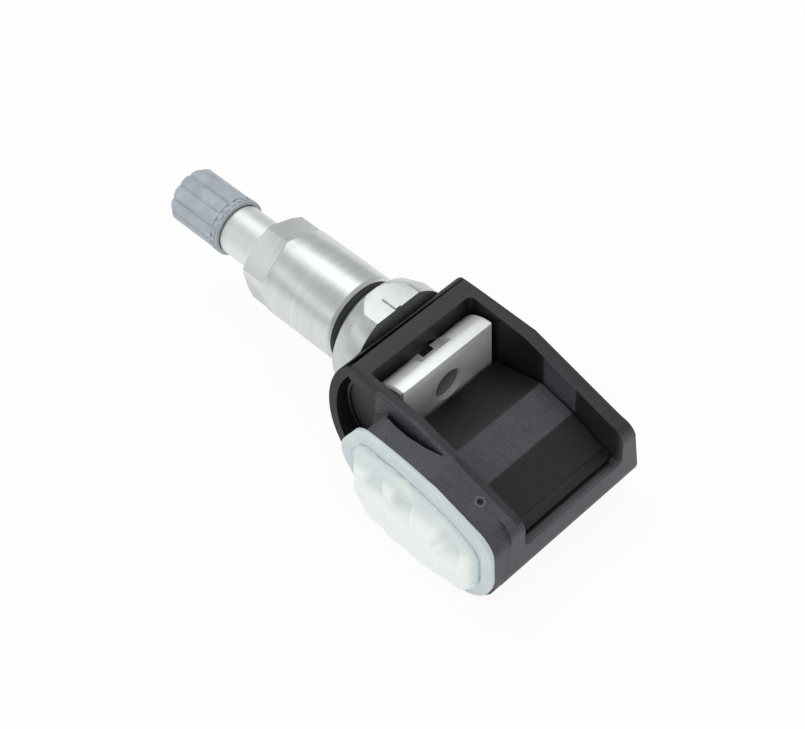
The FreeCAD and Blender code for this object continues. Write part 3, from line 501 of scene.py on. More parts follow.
@dataclass(frozen=True)
class TurnedMetal(Finish):
    """Metal turned about the valve axis, with fine rings."""

    colour: Colour = (0.84, 0.87, 0.86)
    shade: Colour = (0.64, 0.67, 0.66)
    roughness: float = 0.34
    ring_mm: float = 0.14
    ring_depth: float = 0.0045

    def fill(self, shader: Shader) -> None:
        """Fills the material's graph.

        Args:
            shader: The graph.
        """
        rings = shader.streaks("X", self.ring_mm, 3.0)
        bands = shader.streaks("X", 1.3, 2.0)
        patch = shader.noise(2.4, 3.0)
        fine = shader.noise(0.10, 2.0, (1.0, 12.0, 12.0))
        marks = (rings * 0.5 + bands * 0.25 + fine * 0.25).between(0.30, 0.70)
        tint = shader.mix(marks * 0.8 + patch * 0.2, self.shade, self.colour)
        rough = (rings - 0.5) * 0.26 + (patch - 0.5) * 0.14 + self.roughness
        shader.dress(Base_Color=tint, Roughness=rough, Metallic=1.0)
        shader.bump(rings * 0.7 + fine * 0.3, self.ring_depth)


@dataclass(frozen=True)
class CastMetal(Finish):
    """Die-cast metal with a soft, slightly mottled skin."""

    colour: Colour = (0.68, 0.71, 0.70)
    shade: Colour = (0.53, 0.56, 0.56)
    roughness: float = 0.30

    def fill(self, shader: Shader) -> None:
        """Fills the material's graph.

        Args:
            shader: The graph.
        """
        skin = shader.noise(1.6, 3.0)
        fine = shader.noise(0.16, 3.0)
        tint = shader.mix((skin * 0.7 + fine * 0.3).between(0.22, 0.72), self.shade, self.colour)
        rough = (skin - 0.5) * 0.22 + (fine - 0.5) * 0.16 + self.roughness
        shader.dress(Base_Color=tint, Roughness=rough, Metallic=0.85)
        shader.bump(skin * 0.6 + fine * 0.4, 0.014)


@dataclass(frozen=True)
class BrushedMetal(Finish):
    """Ground metal with fine scratches across the Z axis."""

    colour: Colour = (0.80, 0.82, 0.82)
    shade: Colour = (0.60, 0.62, 0.62)
    roughness: float = 0.30
    metal: float = 1.0

    def fill(self, shader: Shader) -> None:
        """Fills the material's graph.

        Args:
            shader: The graph.
        """
        lines = shader.streaks("Z", 0.06, 3.0)
        fine = shader.noise(0.12, 3.0, (1.0, 8.0, 1.0))
        patch = shader.noise(2.4, 2.0)
        marks = (lines * 0.45 + fine * 0.25 + patch * 0.3).between(0.30, 0.70)
        rough = (lines - 0.5) * 0.2 + (patch - 0.5) * 0.15 + self.roughness
        tint = shader.mix(marks, self.shade, self.colour)
        shader.dress(Base_Color=tint, Roughness=rough, Metallic=self.metal)
        shader.bump(lines * 0.6 + fine * 0.4, 0.003)


# modelling bench, all sizes in millimetres


def clear() -> None:
    """Deselects every object."""
    bpy.ops.object.select_all(action="DESELECT")


def take(*pieces: Object) -> None:
    """Selects objects alone and makes the first one active.

    Args:
        pieces: The objects.
    """
    clear()
    for piece in pieces:
        piece.select_set(True)
    bpy.context.view_layer.objects.active = pieces[0]


def edit(piece: Object, how: str = "VERT") -> None:
    """Enters edit mode with all selected.

    Args:
        piece: The object.
        how: VERT, EDGE or FACE.
    """
    take(piece)
    bpy.ops.object.mode_set(mode="EDIT")
    bpy.ops.mesh.select_mode(type=how)
    bpy.ops.mesh.select_all(action="SELECT")


def choose(piece: Object, test: Callable[[Vector], bool], how: str = "FACE") -> int:
    """Selects in edit mode by place.

    Args:
        piece: The object, in edit mode.
        test: Says from a face centre, edge centre or vertex, in millimetres, if it is wanted.
        how: VERT, EDGE or FACE.

    Returns:
        The number selected.
    """
    bpy.ops.mesh.select_mode(type=how)
    bpy.ops.mesh.select_all(action="DESELECT")
    mesh = bmesh.from_edit_mesh(piece.data)
    groups = {"VERT": mesh.verts, "EDGE": mesh.edges, "FACE": mesh.faces}
    places = {
        "VERT": lambda item: item.co,
        "EDGE": lambda item: (item.verts[0].co + item.verts[1].co) / 2,
        "FACE": lambda item: item.calc_center_median(),
    }
    chosen = [item for item in groups[how] if test(places[how](item) / MM)]
    for item in chosen:
        item.select_set(True)
    mesh.select_flush_mode()
    bmesh.update_edit_mesh(piece.data)
    return len(chosen)


def leave() -> None:
    """Leaves edit mode."""
    bpy.ops.object.mode_set(mode="OBJECT")


def settle(piece: Object) -> None:
    """Puts the object's place into its mesh."""
    take(piece)
    bpy.ops.object.transform_apply(location=True, rotation=True, scale=True)


def push(x: float, y: float, z: float) -> None:
    """Extrudes the selection by a distance along each axis."""
    bpy.ops.mesh.extrude_region_move(TRANSFORM_OT_translate={"value": Vector((x, y, z)) * MM})


def path(name: str, points: Sequence[Point]) -> Object:
    """Draws a closed chain of edges by extruding one vertex.

    Args:
        name: The object's name.
        points: The chain's points.

    Returns:
        The object, out of edit mode.
    """
    clear()
    first, last = Vector(points[0]), Vector(points[-1])
    bpy.ops.mesh.primitive_plane_add(size=MM * 0.1, location=first * MM)
    piece = bpy.context.object
    piece.name = name
    settle(piece)
    edit(piece)
    bpy.ops.mesh.merge(type="CENTER")
    for here, there in zip(points, points[1:]):
        push(*(Vector(there) - Vector(here)))
    choose(piece, lambda p: min((p - first).length, (p - last).length) < NEAR_MM, "VERT")
    bpy.ops.mesh.edge_face_add()
    leave()
    return piece


def fill(piece: Object) -> None:
    """Fills a closed chain with one face, which stays selected in edit mode.

    Args:
        piece: The object.
    """
    edit(piece, "EDGE")
    bpy.ops.mesh.edge_face_add()
    bpy.ops.mesh.select_mode(type="FACE")
    bpy.ops.mesh.select_all(action="SELECT")


def lathe(name: str, profile: Sequence[Station], sides: int = 96) -> Object:
    """Turns a closed profile about the valve axis.

    Args:
        name: The object's name.
        profile: (x, radius) points of the closed profile.
        sides: The number of steps round.

    Returns:
        The object.
    """
    piece = path(name, [(x, 0.0, AXIS_Z + r) for x, r in profile])
    edit(piece)
    bpy.ops.mesh.spin(steps=sides, angle=FULL_TURN, center=AXIS_CENTRE, axis=(1.0, 0.0, 0.0))
    heal()
    return piece


def plate(name: str, outline: Sequence[Station], front: float, back: float) -> Object:
    """Extrudes a side outline between two Y planes.

    Args:
        name: The object's name.
        outline: (x, z) points.
        front: The plane that it ends at.
        back: The plane that it starts from.

    Returns:
        The object.
    """
    piece = path(name, [(x, back, z) for x, z in outline])
    fill(piece)
    push(0.0, front - back, 0.0)
    heal()
    return piece


def heal() -> None:
    """Merges doubles, turns the faces outwards and leaves edit mode."""
    bpy.ops.mesh.select_all(action="SELECT")
    bpy.ops.mesh.remove_doubles(threshold=WELD_MM * MM)
    bpy.ops.mesh.normals_make_consistent(inside=False)
    leave()


def inset(steps: Sequence[Station]) -> None:
    """Insets the selected faces again and again, by the width and the rise of each step."""
    for width, rise in steps:
        bpy.ops.mesh.inset(thickness=width * MM, depth=rise * MM)


def copy_node(name: str, node: str) -> Object:
    """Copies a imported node's mesh and merges it.

    Args:
        name: The new object's name.
        node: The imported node.

    Returns:
        The copy.
    """
    source = NODES[node]
    piece = source.copy()
    piece.data = source.data.copy()
    piece.parent = None
    for key in list(piece.keys()):
        del piece[key]
    piece.name = name
    bpy.context.scene.collection.objects.link(piece)
    edit(piece)
    bpy.ops.mesh.remove_doubles(threshold=NODE_WELD_MM * MM)
    bpy.ops.mesh.dissolve_limited(angle_limit=math.radians(NODE_FLAT_DEG))
    leave()
    if piece.data.has_custom_normals:
        bpy.ops.mesh.customdata_custom_splitnormals_clear()
    return piece


def finish_with(piece: Object, kind: str, **settings: object) -> None:
    """Adds one modifier, sets it and applies it.

    Args:
        piece: The object.
        kind: The modifier's type.
        settings: Its settings.
    """
    take(piece)
    modifier = piece.modifiers.new(kind.lower(), kind)
    for key, setting in settings.items():
        setattr(modifier, key, setting)
    bpy.ops.object.modifier_apply(modifier=modifier.name)


def ease(piece: Object, width: float, segments: int = 2, angle: float = 30.0) -> None:
    """Rounds the sharp edges.

    Args:
        piece: The object.
        width: The bevel's width.
        segments: Its segments.
        angle: The least angle of an edge that is rounded, in degrees.
    """
    limit = {"limit_method": "ANGLE", "angle_limit": math.radians(angle), "use_clamp_overlap": True}
    finish_with(piece, "BEVEL", width=width * MM, segments=segments, **limit)


def soften(piece: Object, width: float, test: Callable[[Vector], bool]) -> None:
    """Rounds the sharp outer edges that a test picks, but for the shortest.

    Args:
        piece: The object.
        width: The bevel's width.
        test: Says from an edge's middle if it is wanted.
    """
    edit(piece, "EDGE")
    bpy.ops.mesh.select_all(action="DESELECT")
    mesh = bmesh.from_edit_mesh(piece.data)
    for edge in mesh.edges:
        if len(edge.link_faces) != 2 or not edge.is_convex:
            continue
        middle = (edge.verts[0].co + edge.verts[1].co) / 2 / MM
        bent = edge.calc_face_angle() > math.radians(BENT_DEG)
        if bent and edge.calc_length() >= SHORTEST_MM * MM and test(middle):
            edge.select_set(True)
    bmesh.update_edit_mesh(piece.data)
    bevel = {"offset": width * MM, "segments": 4, "profile": 0.5}
    bpy.ops.mesh.bevel(**bevel, affect="EDGES", clamp_overlap=False)
    leave()


def smooth(piece: Object, angle: float) -> None:
    """Shades smooth, with edges sharper than the angle kept."""
    take(piece)
    bpy.ops.object.shade_smooth_by_angle(angle=math.radians(angle))


# dressing


def paint(piece: Object, finish: Material) -> None:
    """Gives an object one material.

    Args:
        piece: The object.
        finish: Its material.
    """
    piece.data.materials.clear()
    piece.data.materials.append(finish)
    for face in piece.data.polygons:
        face.material_index = 0


def place(piece: Object, finish: Material, body: Body, slot: str, *nodes: str) -> None:
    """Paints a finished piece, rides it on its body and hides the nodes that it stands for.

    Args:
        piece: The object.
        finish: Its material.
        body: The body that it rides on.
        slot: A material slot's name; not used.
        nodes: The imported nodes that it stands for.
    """
    paint(piece, finish)
    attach(piece, body.value)
    if nodes:
        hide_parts(*nodes)
    LOG.info("%s: %d faces on %s", piece.name, len(piece.data.polygons), body.value)


@dataclass(frozen=True)
class Recast:
    """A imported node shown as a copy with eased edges, all sizes in millimetres and degrees."""

    name: str
    node: str
    body: Body
    smooth: float
    width: float = 0.0
    segments: int = 2
    least: float = 24.0

    def build(self, finish: Material) -> None:
        """Copies, eases and dresses the node.

        Args:
            finish: The copy's material.
        """
        piece = copy_node(self.name, self.node)
        if self.width:
            ease(piece, self.width, self.segments, self.least)
        smooth(piece, self.smooth)
        place(piece, finish, self.body, self.node, self.node)


# sub-assemblies


@dataclass
class Housing:
    """The moulded body, whose outer boxes hold the rails', the nose's and the bridge's edges."""

    flat: float = 2.5
    edge: float = 0.55
    port_at: Point = (18.4, -12.6, 15.88)
    port_reach: float = 1.05
    port_rise: float = 0.8
    port_share: float = 0.8
    port_tilt: float = 18.7
    plug_r: float = 0.455
    plug_depth: float = 0.72
    plug_sunk: float = 0.5
    plug_top: float = 0.3
    dimple: Stations = ((0.12, -0.02), (0.05, -0.3))
    lip: Stations = ((21.0, 9.66), (22.45, 8.94), (22.45, 8.52), (21.0, 8.52))
    lip_ends: Station = (-8.95, 8.35)
    ridges: Stations = ((9.5, 14.1), (15.4, 12.5), (21.99, 9.2))
    outer: tuple[Box, ...] = (
        ((-4.0, 11.0, 16.0), (FAR, 11.8, 21.4)),
        ((-4.0, -11.8, 16.0), (FAR, -11.0, 21.4)),
        ((-FAR, 10.6, 15.0), (-3.7, FAR, FAR)),
        ((-FAR, -FAR, 20.3), (-7.6, -10.5, FAR)),
        ((-FAR, -1.0, 21.0), (-7.4, 1.0, FAR)),
    )

    def is_outer(self, spot: Vector) -> bool:
        """Says if an edge's middle lies in one of the outer boxes."""
        return any(all(a < at < b for a, at, b in zip(low, spot, high)) for low, high in self.outer)

    def on_ridge(self, spot: Vector) -> bool:
        """Says if a point lies on one of the lid's ridges."""
        return any(abs(spot.x - x) < 0.1 and abs(spot.z - z) < 0.1 for x, z in self.ridges)

    def build(self) -> None:
        """Models and dresses the housing."""
        finish = HousingPlastic("housing plastic").build()
        place(self.moulding(), finish, Body.HOUSING, "housing", "housing")
        place(self.port(), finish, Body.HOUSING, "housing")
        lip = plate("lid_lip", self.lip, *self.lip_ends)
        ease(lip, 0.1)
        smooth(lip, 30.0)
        place(lip, finish, Body.HOUSING, "housing")

    def moulding(self) -> Object:
        """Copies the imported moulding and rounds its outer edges.

        Returns:
            The moulding.
        """
        body = copy_node("housing_moulding", "housing")
        edit(body)
        bpy.ops.mesh.dissolve_limited(angle_limit=math.radians(self.flat))
        leave()
        self.shrink_port(body)
        soften(body, self.edge, self.is_outer)
        smooth(body, 24.0)
        edit(body, "EDGE")
        choose(body, self.on_ridge, "EDGE")
        bpy.ops.mesh.mark_sharp()
        leave()
        return body

    def shrink_port(self, body: Object) -> None:
        """Draws the port's raised ring in to the photograph's size.

        Args:
            body: The moulding.
        """
        x, y, z = self.port_at
        low, reach = z - self.port_rise, self.port_reach
        edit(body)
        if choose(body, lambda p: math.hypot(p.x - x, p.y - y) < reach and p.z > low, "VERT"):
            centre = Vector(self.port_at) * MM
            bpy.ops.transform.resize(value=(self.port_share,) * 3, center_override=centre)
        leave()

    def port(self) -> Object:
        """Models the dimpled plug in the pressure port.

        Returns:
            The plug.
        """
        clear()
        tilt = math.radians(self.port_tilt)
        low = Vector(self.port_at) - Vector((math.sin(tilt), 0.0, math.cos(tilt))) * self.plug_sunk
        settings = {"radius": self.plug_r * MM, "depth": self.plug_depth * MM, "vertices": 32}
        bpy.ops.mesh.primitive_cylinder_add(location=low * MM, rotation=(0.0, tilt, 0.0), **settings)
        plug = bpy.context.object
        plug.name = "port_plug"
        settle(plug)
        edit(plug, "FACE")
        choose(plug, lambda p: (p - low).z > self.plug_top)
        inset(self.dimple)
        leave()
        smooth(plug, 30.0)
        return plug


@dataclass
class PottedCover:
    """The milky cover: a flange ring with a groove, and a soft blister over the chips."""

    face_y: float = -16.6
    back_y: float = -15.8
    insets: Stations = (
        (0.28, 0.0), (0.10, -0.10), (1.0, 0.0), (0.12, 0.08), (0.25, 0.0), (0.3, -0.3), (0.35, 0.0),
    )
    film_ends: Stations = ((-3.0, 1.0), (22.6, 16.4))
    film_cells: tuple[int, int] = (104, 62)
    film_behind: float = 0.25
    film_edge: float = 0.3
    film_thick: float = 0.4
    slope_down: float = 0.6
    slope_up: float = 1.7
    bows: tuple[tuple[Station, Station, Station], ...] = (
        ((-3.5, 9.2), (-4.1, 11.5), (-3.2, 14.3)),
        ((-1.7, 16.6), (-0.1, 18.35), (1.7, 18.75)),
        ((1.7, 18.75), (8.0, 18.5), (13.6, 17.8)),
        ((20.7, 15.4), (23.15, 13.95), (24.05, 11.6)),
        ((24.1, 6.5), (22.7, 2.75), (18.8, 0.08)),
        ((4.6, 0.1), (2.9, 0.55), (1.2, 2.4)),
    )
    bed: Stations = (
        (-2.1, 10.0), (-2.2, 12.6), (-1.0, 14.9), (0.8, 15.9), (6.3, 15.6), (11.4, 15.0),
        (16.6, 13.7), (19.7, 12.2), (21.3, 11.0), (21.8, 9.8), (21.8, 3.6), (19.8, 1.8),
        (17.6, 1.3), (4.4, 1.3), (2.6, 2.0), (-1.4, 7.7),
    )
    lumps: tuple[Lump, ...] = (
        (-2.0, 21.6, 1.4, 15.8, 0.35),
        (0.2, 6.6, 3.6, 9.4, 2.15),
        (-0.3, 1.5, 9.0, 11.8, 1.55),
        (5.1, 6.7, 9.0, 12.4, 1.45),
        (6.4, 16.0, 3.4, 9.2, 2.45),
        (10.9, 15.1, 8.8, 11.4, 2.25),
        (15.6, 20.7, 3.5, 8.0, 2.15),
        (19.5, 20.8, 7.6, 9.9, 1.55),
        (12.2, 17.2, 2.1, 4.2, 1.8),
        (7.4, 8.8, 3.9, 5.3, 2.58),
        (8.9, 9.9, 1.8, 3.6, 1.7),
        (12.3, 13.3, 2.0, 3.5, 2.3),
    )
    steps: tuple[Point, ...] = ((0.3, 0.8, 0.25), (0.62, 0.45, 0.55), (0.86, 0.2, 0.9), (1.0, 0.0, 1.2))

    def sides(self) -> list[tuple[Station, Station]]:
        """The ends of each side of the film's outline."""
        return list(zip(self.bed, self.bed[1:] + self.bed[:1]))

    def inside(self, spot: Vector) -> bool:
        """Says if a point lies within the film's outline, by the sides that a ray along X meets.

        Args:
            spot: The point.

        Returns:
            True inside the outline.
        """
        odd = False
        for (x0, z0), (x1, z1) in self.sides():
            if (z0 > spot.z) != (z1 > spot.z) and spot.x < x0 + (spot.z - z0) / (z1 - z0) * (x1 - x0):
                odd = not odd
        return odd

    def room(self, spot: Vector) -> float:
        """Measures how far a point lies from the film's outline.

        Args:
            spot: The point.

        Returns:
            The least distance.
        """
        least = math.inf
        for start, end in self.sides():
            a, b, p = Vector(start), Vector(end), Vector((spot.x, spot.z))
            share = max(0.0, min(1.0, (p - a).dot(b - a) / (b - a).length_squared))
            least = min(least, (a + (b - a) * share - p).length)
        return least

    @staticmethod
    def arc(start: Station, middle: Station, end: Station, steps: int = 6) -> list[Station]:
        """Follows the arc through three points.

        Args:
            start: Its first point.
            middle: A point on it.
            end: Its last point.
            steps: The number of its chords.

        Returns:
            The chords' ends.
        """
        (ax, az), (bx, bz), (cx, cz) = start, middle, end
        a, b, c = ax * ax + az * az, bx * bx + bz * bz, cx * cx + cz * cz
        double = 2.0 * (ax * (bz - cz) + bx * (cz - az) + cx * (az - bz))
        x = (a * (bz - cz) + b * (cz - az) + c * (az - bz)) / double
        z = (a * (cx - bx) + b * (ax - cx) + c * (bx - ax)) / double
        first, last = math.atan2(az - z, ax - x), math.atan2(cz - z, cx - x)
        swing = (last - first + math.pi) % FULL_TURN - math.pi
        r = math.hypot(ax - x, az - z)
        turns = [first + swing * index / steps for index in range(steps + 1)]
        return [(x + r * math.cos(turn), z + r * math.sin(turn)) for turn in turns]

    def outline(self) -> list[Station]:
        """Joins the ring's arcs by straight stretches.

        Returns:
            The outline's points, without doubles.
        """
        points: list[Station] = []
        for point in (point for bow in self.bows for point in self.arc(*bow)):
            if not points or math.dist(point, points[-1]) > 0.01:
                points.append(point)
        return points

    def flange(self) -> Object:
        """Models the ring with its groove.

        Returns:
            The ring.
        """
        piece = plate("cover_flange", self.outline(), self.face_y, self.back_y)
        edit(piece, "FACE")
        choose(piece, lambda p: abs(p.y - self.face_y) < 0.01)
        inset(self.insets)
        leave()
        ease(piece, 0.08)
        smooth(piece, 40.0)
        return piece

    @staticmethod
    def flatten(y: float) -> None:
        """Brings the selection to one plane across Y."""
        centre = (0.0, y * MM, 0.0)
        bpy.ops.transform.resize(value=(1.0, 0.0, 1.0), center_override=centre)

    def sheet(self) -> Object:
        """Makes the flat grid that the film is drawn from.

        Returns:
            The sheet, in edit mode.
        """
        clear()
        (x0, z0), (x1, z1) = self.film_ends
        middle = Vector(((x0 + x1) / 2, self.face_y + self.film_behind, (z0 + z1) / 2)) * MM
        cells = {"x_subdivisions": self.film_cells[0], "y_subdivisions": self.film_cells[1]}
        turn = (math.pi / 2, 0.0, 0.0)
        bpy.ops.mesh.primitive_grid_add(size=1.0, location=middle, rotation=turn, **cells)
        piece = bpy.context.object
        piece.name = "cover_film"
        piece.scale = ((x1 - x0) * MM, (z1 - z0) * MM, 1.0)
        settle(piece)
        edit(piece)
        choose(piece, lambda p: not self.inside(p))
        bpy.ops.mesh.delete(type="FACE")
        return piece

    def draw(self, piece: Object, lump: Lump) -> None:
        """Draws the sheet out over one lump, step by step.

        Args:
            piece: The sheet, in edit mode.
            lump: The lump's ends along X, its ends along Z and its height.
        """
        x0, x1, z0, z1, height = lump
        for share, grow, away in self.steps:
            level = self.face_y - height * share
            low, high = z0 - grow * self.slope_down, z1 + grow * self.slope_up

            def lower(p: Vector) -> bool:
                """Says if a point of the lump's step still lies behind it."""
                within = x0 - grow < p.x < x1 + grow and low < p.z < high
                return within and p.y > level + NEAR_MM and self.room(p) > away

            if choose(piece, lower, "VERT"):
                self.flatten(level)

    def film(self) -> Object:
        """Models the soft film that is drawn over the parts beneath.

        Returns:
            The film.
        """
        piece = self.sheet()
        for lump in self.lumps:
            self.draw(piece, lump)
        bpy.ops.mesh.select_all(action="SELECT")
        bpy.ops.mesh.vertices_smooth(factor=0.5, repeat=3, xaxis=False, yaxis=True, zaxis=False)
        bpy.ops.mesh.select_all(action="DESELECT")
        bpy.ops.mesh.select_non_manifold()
        self.flatten(self.face_y + self.film_edge)
        leave()
        finish_with(piece, "SOLIDIFY", thickness=self.film_thick * MM, offset=-1.0)
        finish_with(piece, "SMOOTH", factor=0.5, iterations=2)
        take(piece)
        bpy.ops.object.shade_smooth()
        return piece

    def build(self) -> None:
        """Models and dresses the cover."""
        # the ring's resin: painted shade low down and painted light on its raised steps
        tints = ((0.72, 0.78, 0.79), (0.60, 0.67, 0.70), (0.76, 0.78, 0.72))
        ring = CastResin("cover ring", *tints, -16.75, 0.012)
        place(self.flange(), ring.build(), Body.HOUSING, "potting_cover", "potting_cover")
        place(self.film(), CastResin("milky resin").build(), Body.HOUSING, "potting_cover")


@dataclass
class Valve:
    """The foot, the bar, the rubber ring, the stem and the collar."""

    foot: Recast = Recast("foot_casting", "valve_foot", Body.VALVE, 20.0, 0.14)
    bar: Recast = Recast("clamp_bar_ground", "clamp_bar", Body.VALVE, 35.0, 0.18, 3, 28.0)
    stem: Recast = Recast("turned_stem", "valve_stem", Body.VALVE, 35.0)
    floor: Stations = ((-1.2, 0.0), (-1.2, 2.57), (-0.5, 2.57), (-0.5, 0.0))
    ring: Stations = (
        (-16.58, 4.03), (-16.58, 6.4), (-16.25, 6.74), (-15.65, 6.74), (-15.32, 6.4), (-15.32, 4.03),
    )
    collar_ends: Station = (-4.5, -3.52)
    collar_r: float = 3.5
    collar_bore: float = 3.05
    groove_r: float = 3.36
    grooves: Station = (-4.4, -4.0)
    groove_section: tuple[float, ...] = (0.0, 0.05, 0.22, 0.27)

    def build(self) -> None:
        """Models and dresses the valve."""
        bright = BrushedMetal("ground bar", (0.92, 0.94, 0.94), (0.78, 0.80, 0.80), 0.36, 0.45)
        # painted shade: a darkened copy of the bar's ground metal for the floor of its bore
        bore_shade_metal = BrushedMetal("bore floor", (0.26, 0.27, 0.28), (0.16, 0.17, 0.18), 0.45, 0.6)
        turned = TurnedMetal("turned stem", (0.93, 0.95, 0.94), (0.80, 0.83, 0.82), 0.50)
        rubber = MouldedPlastic("sealing rubber", *RUBBER).build()
        self.foot.build(CastMetal("die-cast foot").build())
        self.bar.build(bright.build())

        ring = lathe("rubber_ring", self.ring)
        ease(ring, 0.2, 3, 20.0)
        smooth(ring, 50.0)
        place(ring, rubber, Body.VALVE, "rim_seal", "rim_seal")
        collar = lathe("stem_collar", self.collar())
        smooth(collar, 30.0)
        place(collar, rubber, Body.VALVE, "rim_seal")
        # the bore's floor, in painted shade
        floor = lathe("bar_bore_floor", self.floor, 64)
        smooth(floor, 30.0)
        place(floor, bore_shade_metal.build(), Body.VALVE, "clamp_bar")
        self.stem.build(turned.build())

    def collar(self) -> list[Station]:
        """Draws the section of the grooved black collar on the stem in the bar's mouth.

        Returns:
            Its (x, radius) points.
        """
        start, end = self.collar_ends
        levels = (self.collar_r, self.groove_r, self.groove_r, self.collar_r)
        section = [(start, self.collar_bore), (start, self.collar_r)]
        for x in self.grooves:
            section += [(x + away, level) for away, level in zip(self.groove_section, levels)]
        return section + [(end, self.collar_r), (end, self.collar_bore)]


@dataclass
class UnionNut:
    """The long nut."""

    nut: Recast = Recast("union_nut_turned", "union_nut", Body.NUT, 30.0, 0.10)

    def build(self) -> None:
        """Models and dresses the nut."""
        self.nut.build(TurnedMetal("turned nut").build())


@dataclass
class ScrewCap:
    """The ribbed cap: a lobed barrel on a skirt of square teeth."""

    far: float = -53.75
    skirt: float = -44.5
    bottom: float = -43.2
    lobes: int = 12
    lobe_steps: int = 8
    lobe_power: float = 2.2
    lobe_r: float = 4.62
    valley_r: float = 4.24
    dome: Stations = ((0.55, 1.0), (0.2, 0.955), (0.0, 0.87))
    bore_r: float = 3.93
    bore_end: float = -52.6
    skirt_r: float = 4.42
    rim_rise: float = 0.18
    teeth: int = 22
    tooth_half: float = 0.40
    tooth_rise: float = 0.2
    tooth_gaps: Station = (0.12, 0.42)

    def section(self) -> list[Point]:
        """Draws the barrel's lobed section at the skirt.

        Returns:
            Its points.
        """
        points = []
        count = self.lobes * self.lobe_steps
        for index in range(count):
            turn = FULL_TURN * index / count
            across = abs(index % self.lobe_steps / self.lobe_steps * 2.0 - 1.0)
            rise = math.sqrt(1.0 - across**self.lobe_power)
            r = self.valley_r + (self.lobe_r - self.valley_r) * rise
            points.append((self.skirt, r * math.sin(turn), AXIS_Z + r * math.cos(turn)))
        return points

    def barrel(self) -> Object:
        """Models the lobed barrel, domed at its far end and hollow.

        Returns:
            The barrel.
        """
        piece = path("cap_barrel", self.section())
        fill(piece)
        here = self.skirt
        for rise, share in self.dome:
            there = self.far + rise
            push(there - here, 0.0, 0.0)
            bpy.ops.transform.resize(value=(1.0, share, share), center_override=AXIS_CENTRE)
            here = there
        heal()
        start, end = self.skirt + 0.5, self.bore_end
        hole = ((start, 0.0), (start, self.bore_r), (end, self.bore_r), (end, 0.0))
        bore = lathe("cap_bore", hole, 48)
        finish_with(piece, "BOOLEAN", object=bore, operation="DIFFERENCE", solver="EXACT")
        bpy.data.objects.remove(bore)
        smooth(piece, 38.0)
        return piece

    def rim(self) -> Object:
        """Models the skirt's ring with its bore and the raised rim at its open end.

        Returns:
            The ring.
        """
        x0, x1, r = self.skirt, self.bottom, self.skirt_r
        bore, rim = self.bore_r + 0.1, r + self.rim_rise
        belt = [(x0 - 0.1, bore), (x0 - 0.1, r - 0.25), (x0 + 0.1, r), (x1 - 0.3, r)]
        mouth = [(x1 - 0.25, rim), (x1 - 0.05, rim), (x1, r + 0.1), (x1, bore)]
        piece = lathe("cap_rim", belt + mouth)
        smooth(piece, 35.0)
        return piece

    def tooth_row(self) -> Object:
        """Models one square tooth and copies it round the skirt.

        Returns:
            The teeth.
        """
        top, (before, behind) = AXIS_Z + self.skirt_r, self.tooth_gaps
        low = Vector((self.skirt + before, -self.tooth_half, top - self.tooth_rise))
        high = Vector((self.bottom - behind, self.tooth_half, top + self.tooth_rise))
        clear()
        bpy.ops.mesh.primitive_cube_add(size=1.0, location=(low + high) / 2 * MM)
        first = bpy.context.object
        first.scale = (high - low) * MM
        settle(first)
        ease(first, 0.07)
        row = [first]
        for index in range(1, self.teeth):
            tooth = first.copy()
            tooth.data = first.data.copy()
            bpy.context.scene.collection.objects.link(tooth)
            edit(tooth)
            turn = FULL_TURN * index / self.teeth
            bpy.ops.transform.rotate(value=turn, orient_axis="X", center_override=AXIS_CENTRE)
            leave()
            row.append(tooth)
        take(*row)
        bpy.ops.object.join()
        first.name = "cap_teeth"
        smooth(first, 35.0)
        return first

    def build(self) -> None:
        """Models and dresses the cap."""
        tints = ((0.47, 0.515, 0.565), (0.36, 0.395, 0.44))
        finish = MouldedPlastic("cap plastic", *tints, 0.38, 0.16, 0.006).build()
        place(self.barrel(), finish, Body.CAP, "valve_cap", "valve_cap")
        place(self.rim(), finish, Body.CAP, "valve_cap")
        place(self.tooth_row(), finish, Body.CAP, "valve_cap")


class Insides:
    """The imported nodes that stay, each with its own finish."""

    finishes: tuple[tuple[Finish, str], ...] = (
        (BrushedMetal("bright steel"), "coin_cell crystal core_spring nut_washer"),
        (BrushedMetal("nickel strip", (0.72, 0.70, 0.64), (0.55, 0.54, 0.50)),
         "cell_tab_top cell_tab_base"),
        (TurnedMetal("turned brass", (0.80, 0.62, 0.30), (0.62, 0.45, 0.20)), "core_body core_pin"),
        (MouldedPlastic("seal rubber", *RUBBER), "core_cup cap_seal"),
        (MouldedPlastic("gasket rubber", (0.35, 0.03, 0.02), (0.26, 0.02, 0.02), 0.45), "core_gasket"),
        (MouldedPlastic("board lacquer", (0.02, 0.16, 0.06), (0.015, 0.11, 0.04), 0.30), "circuit_board"),
        (MouldedPlastic("chip moulding", (0.030, 0.030, 0.032), (0.02, 0.02, 0.02), 0.50),
         "sensor_chip radio_chip"),
        (MouldedPlastic("ferrite", (0.07, 0.07, 0.08), (0.05, 0.05, 0.055), 0.40), "coil_core"),
        (BrushedMetal("copper wire", (0.72, 0.33, 0.14), (0.50, 0.20, 0.08)), "coil_winding"),
    )

    def build(self) -> None:
        """Dresses the nodes."""
        for finish, nodes in self.finishes:
            material = finish.build()
            for node in nodes.split():
                paint(NODES[node], material)


# studio


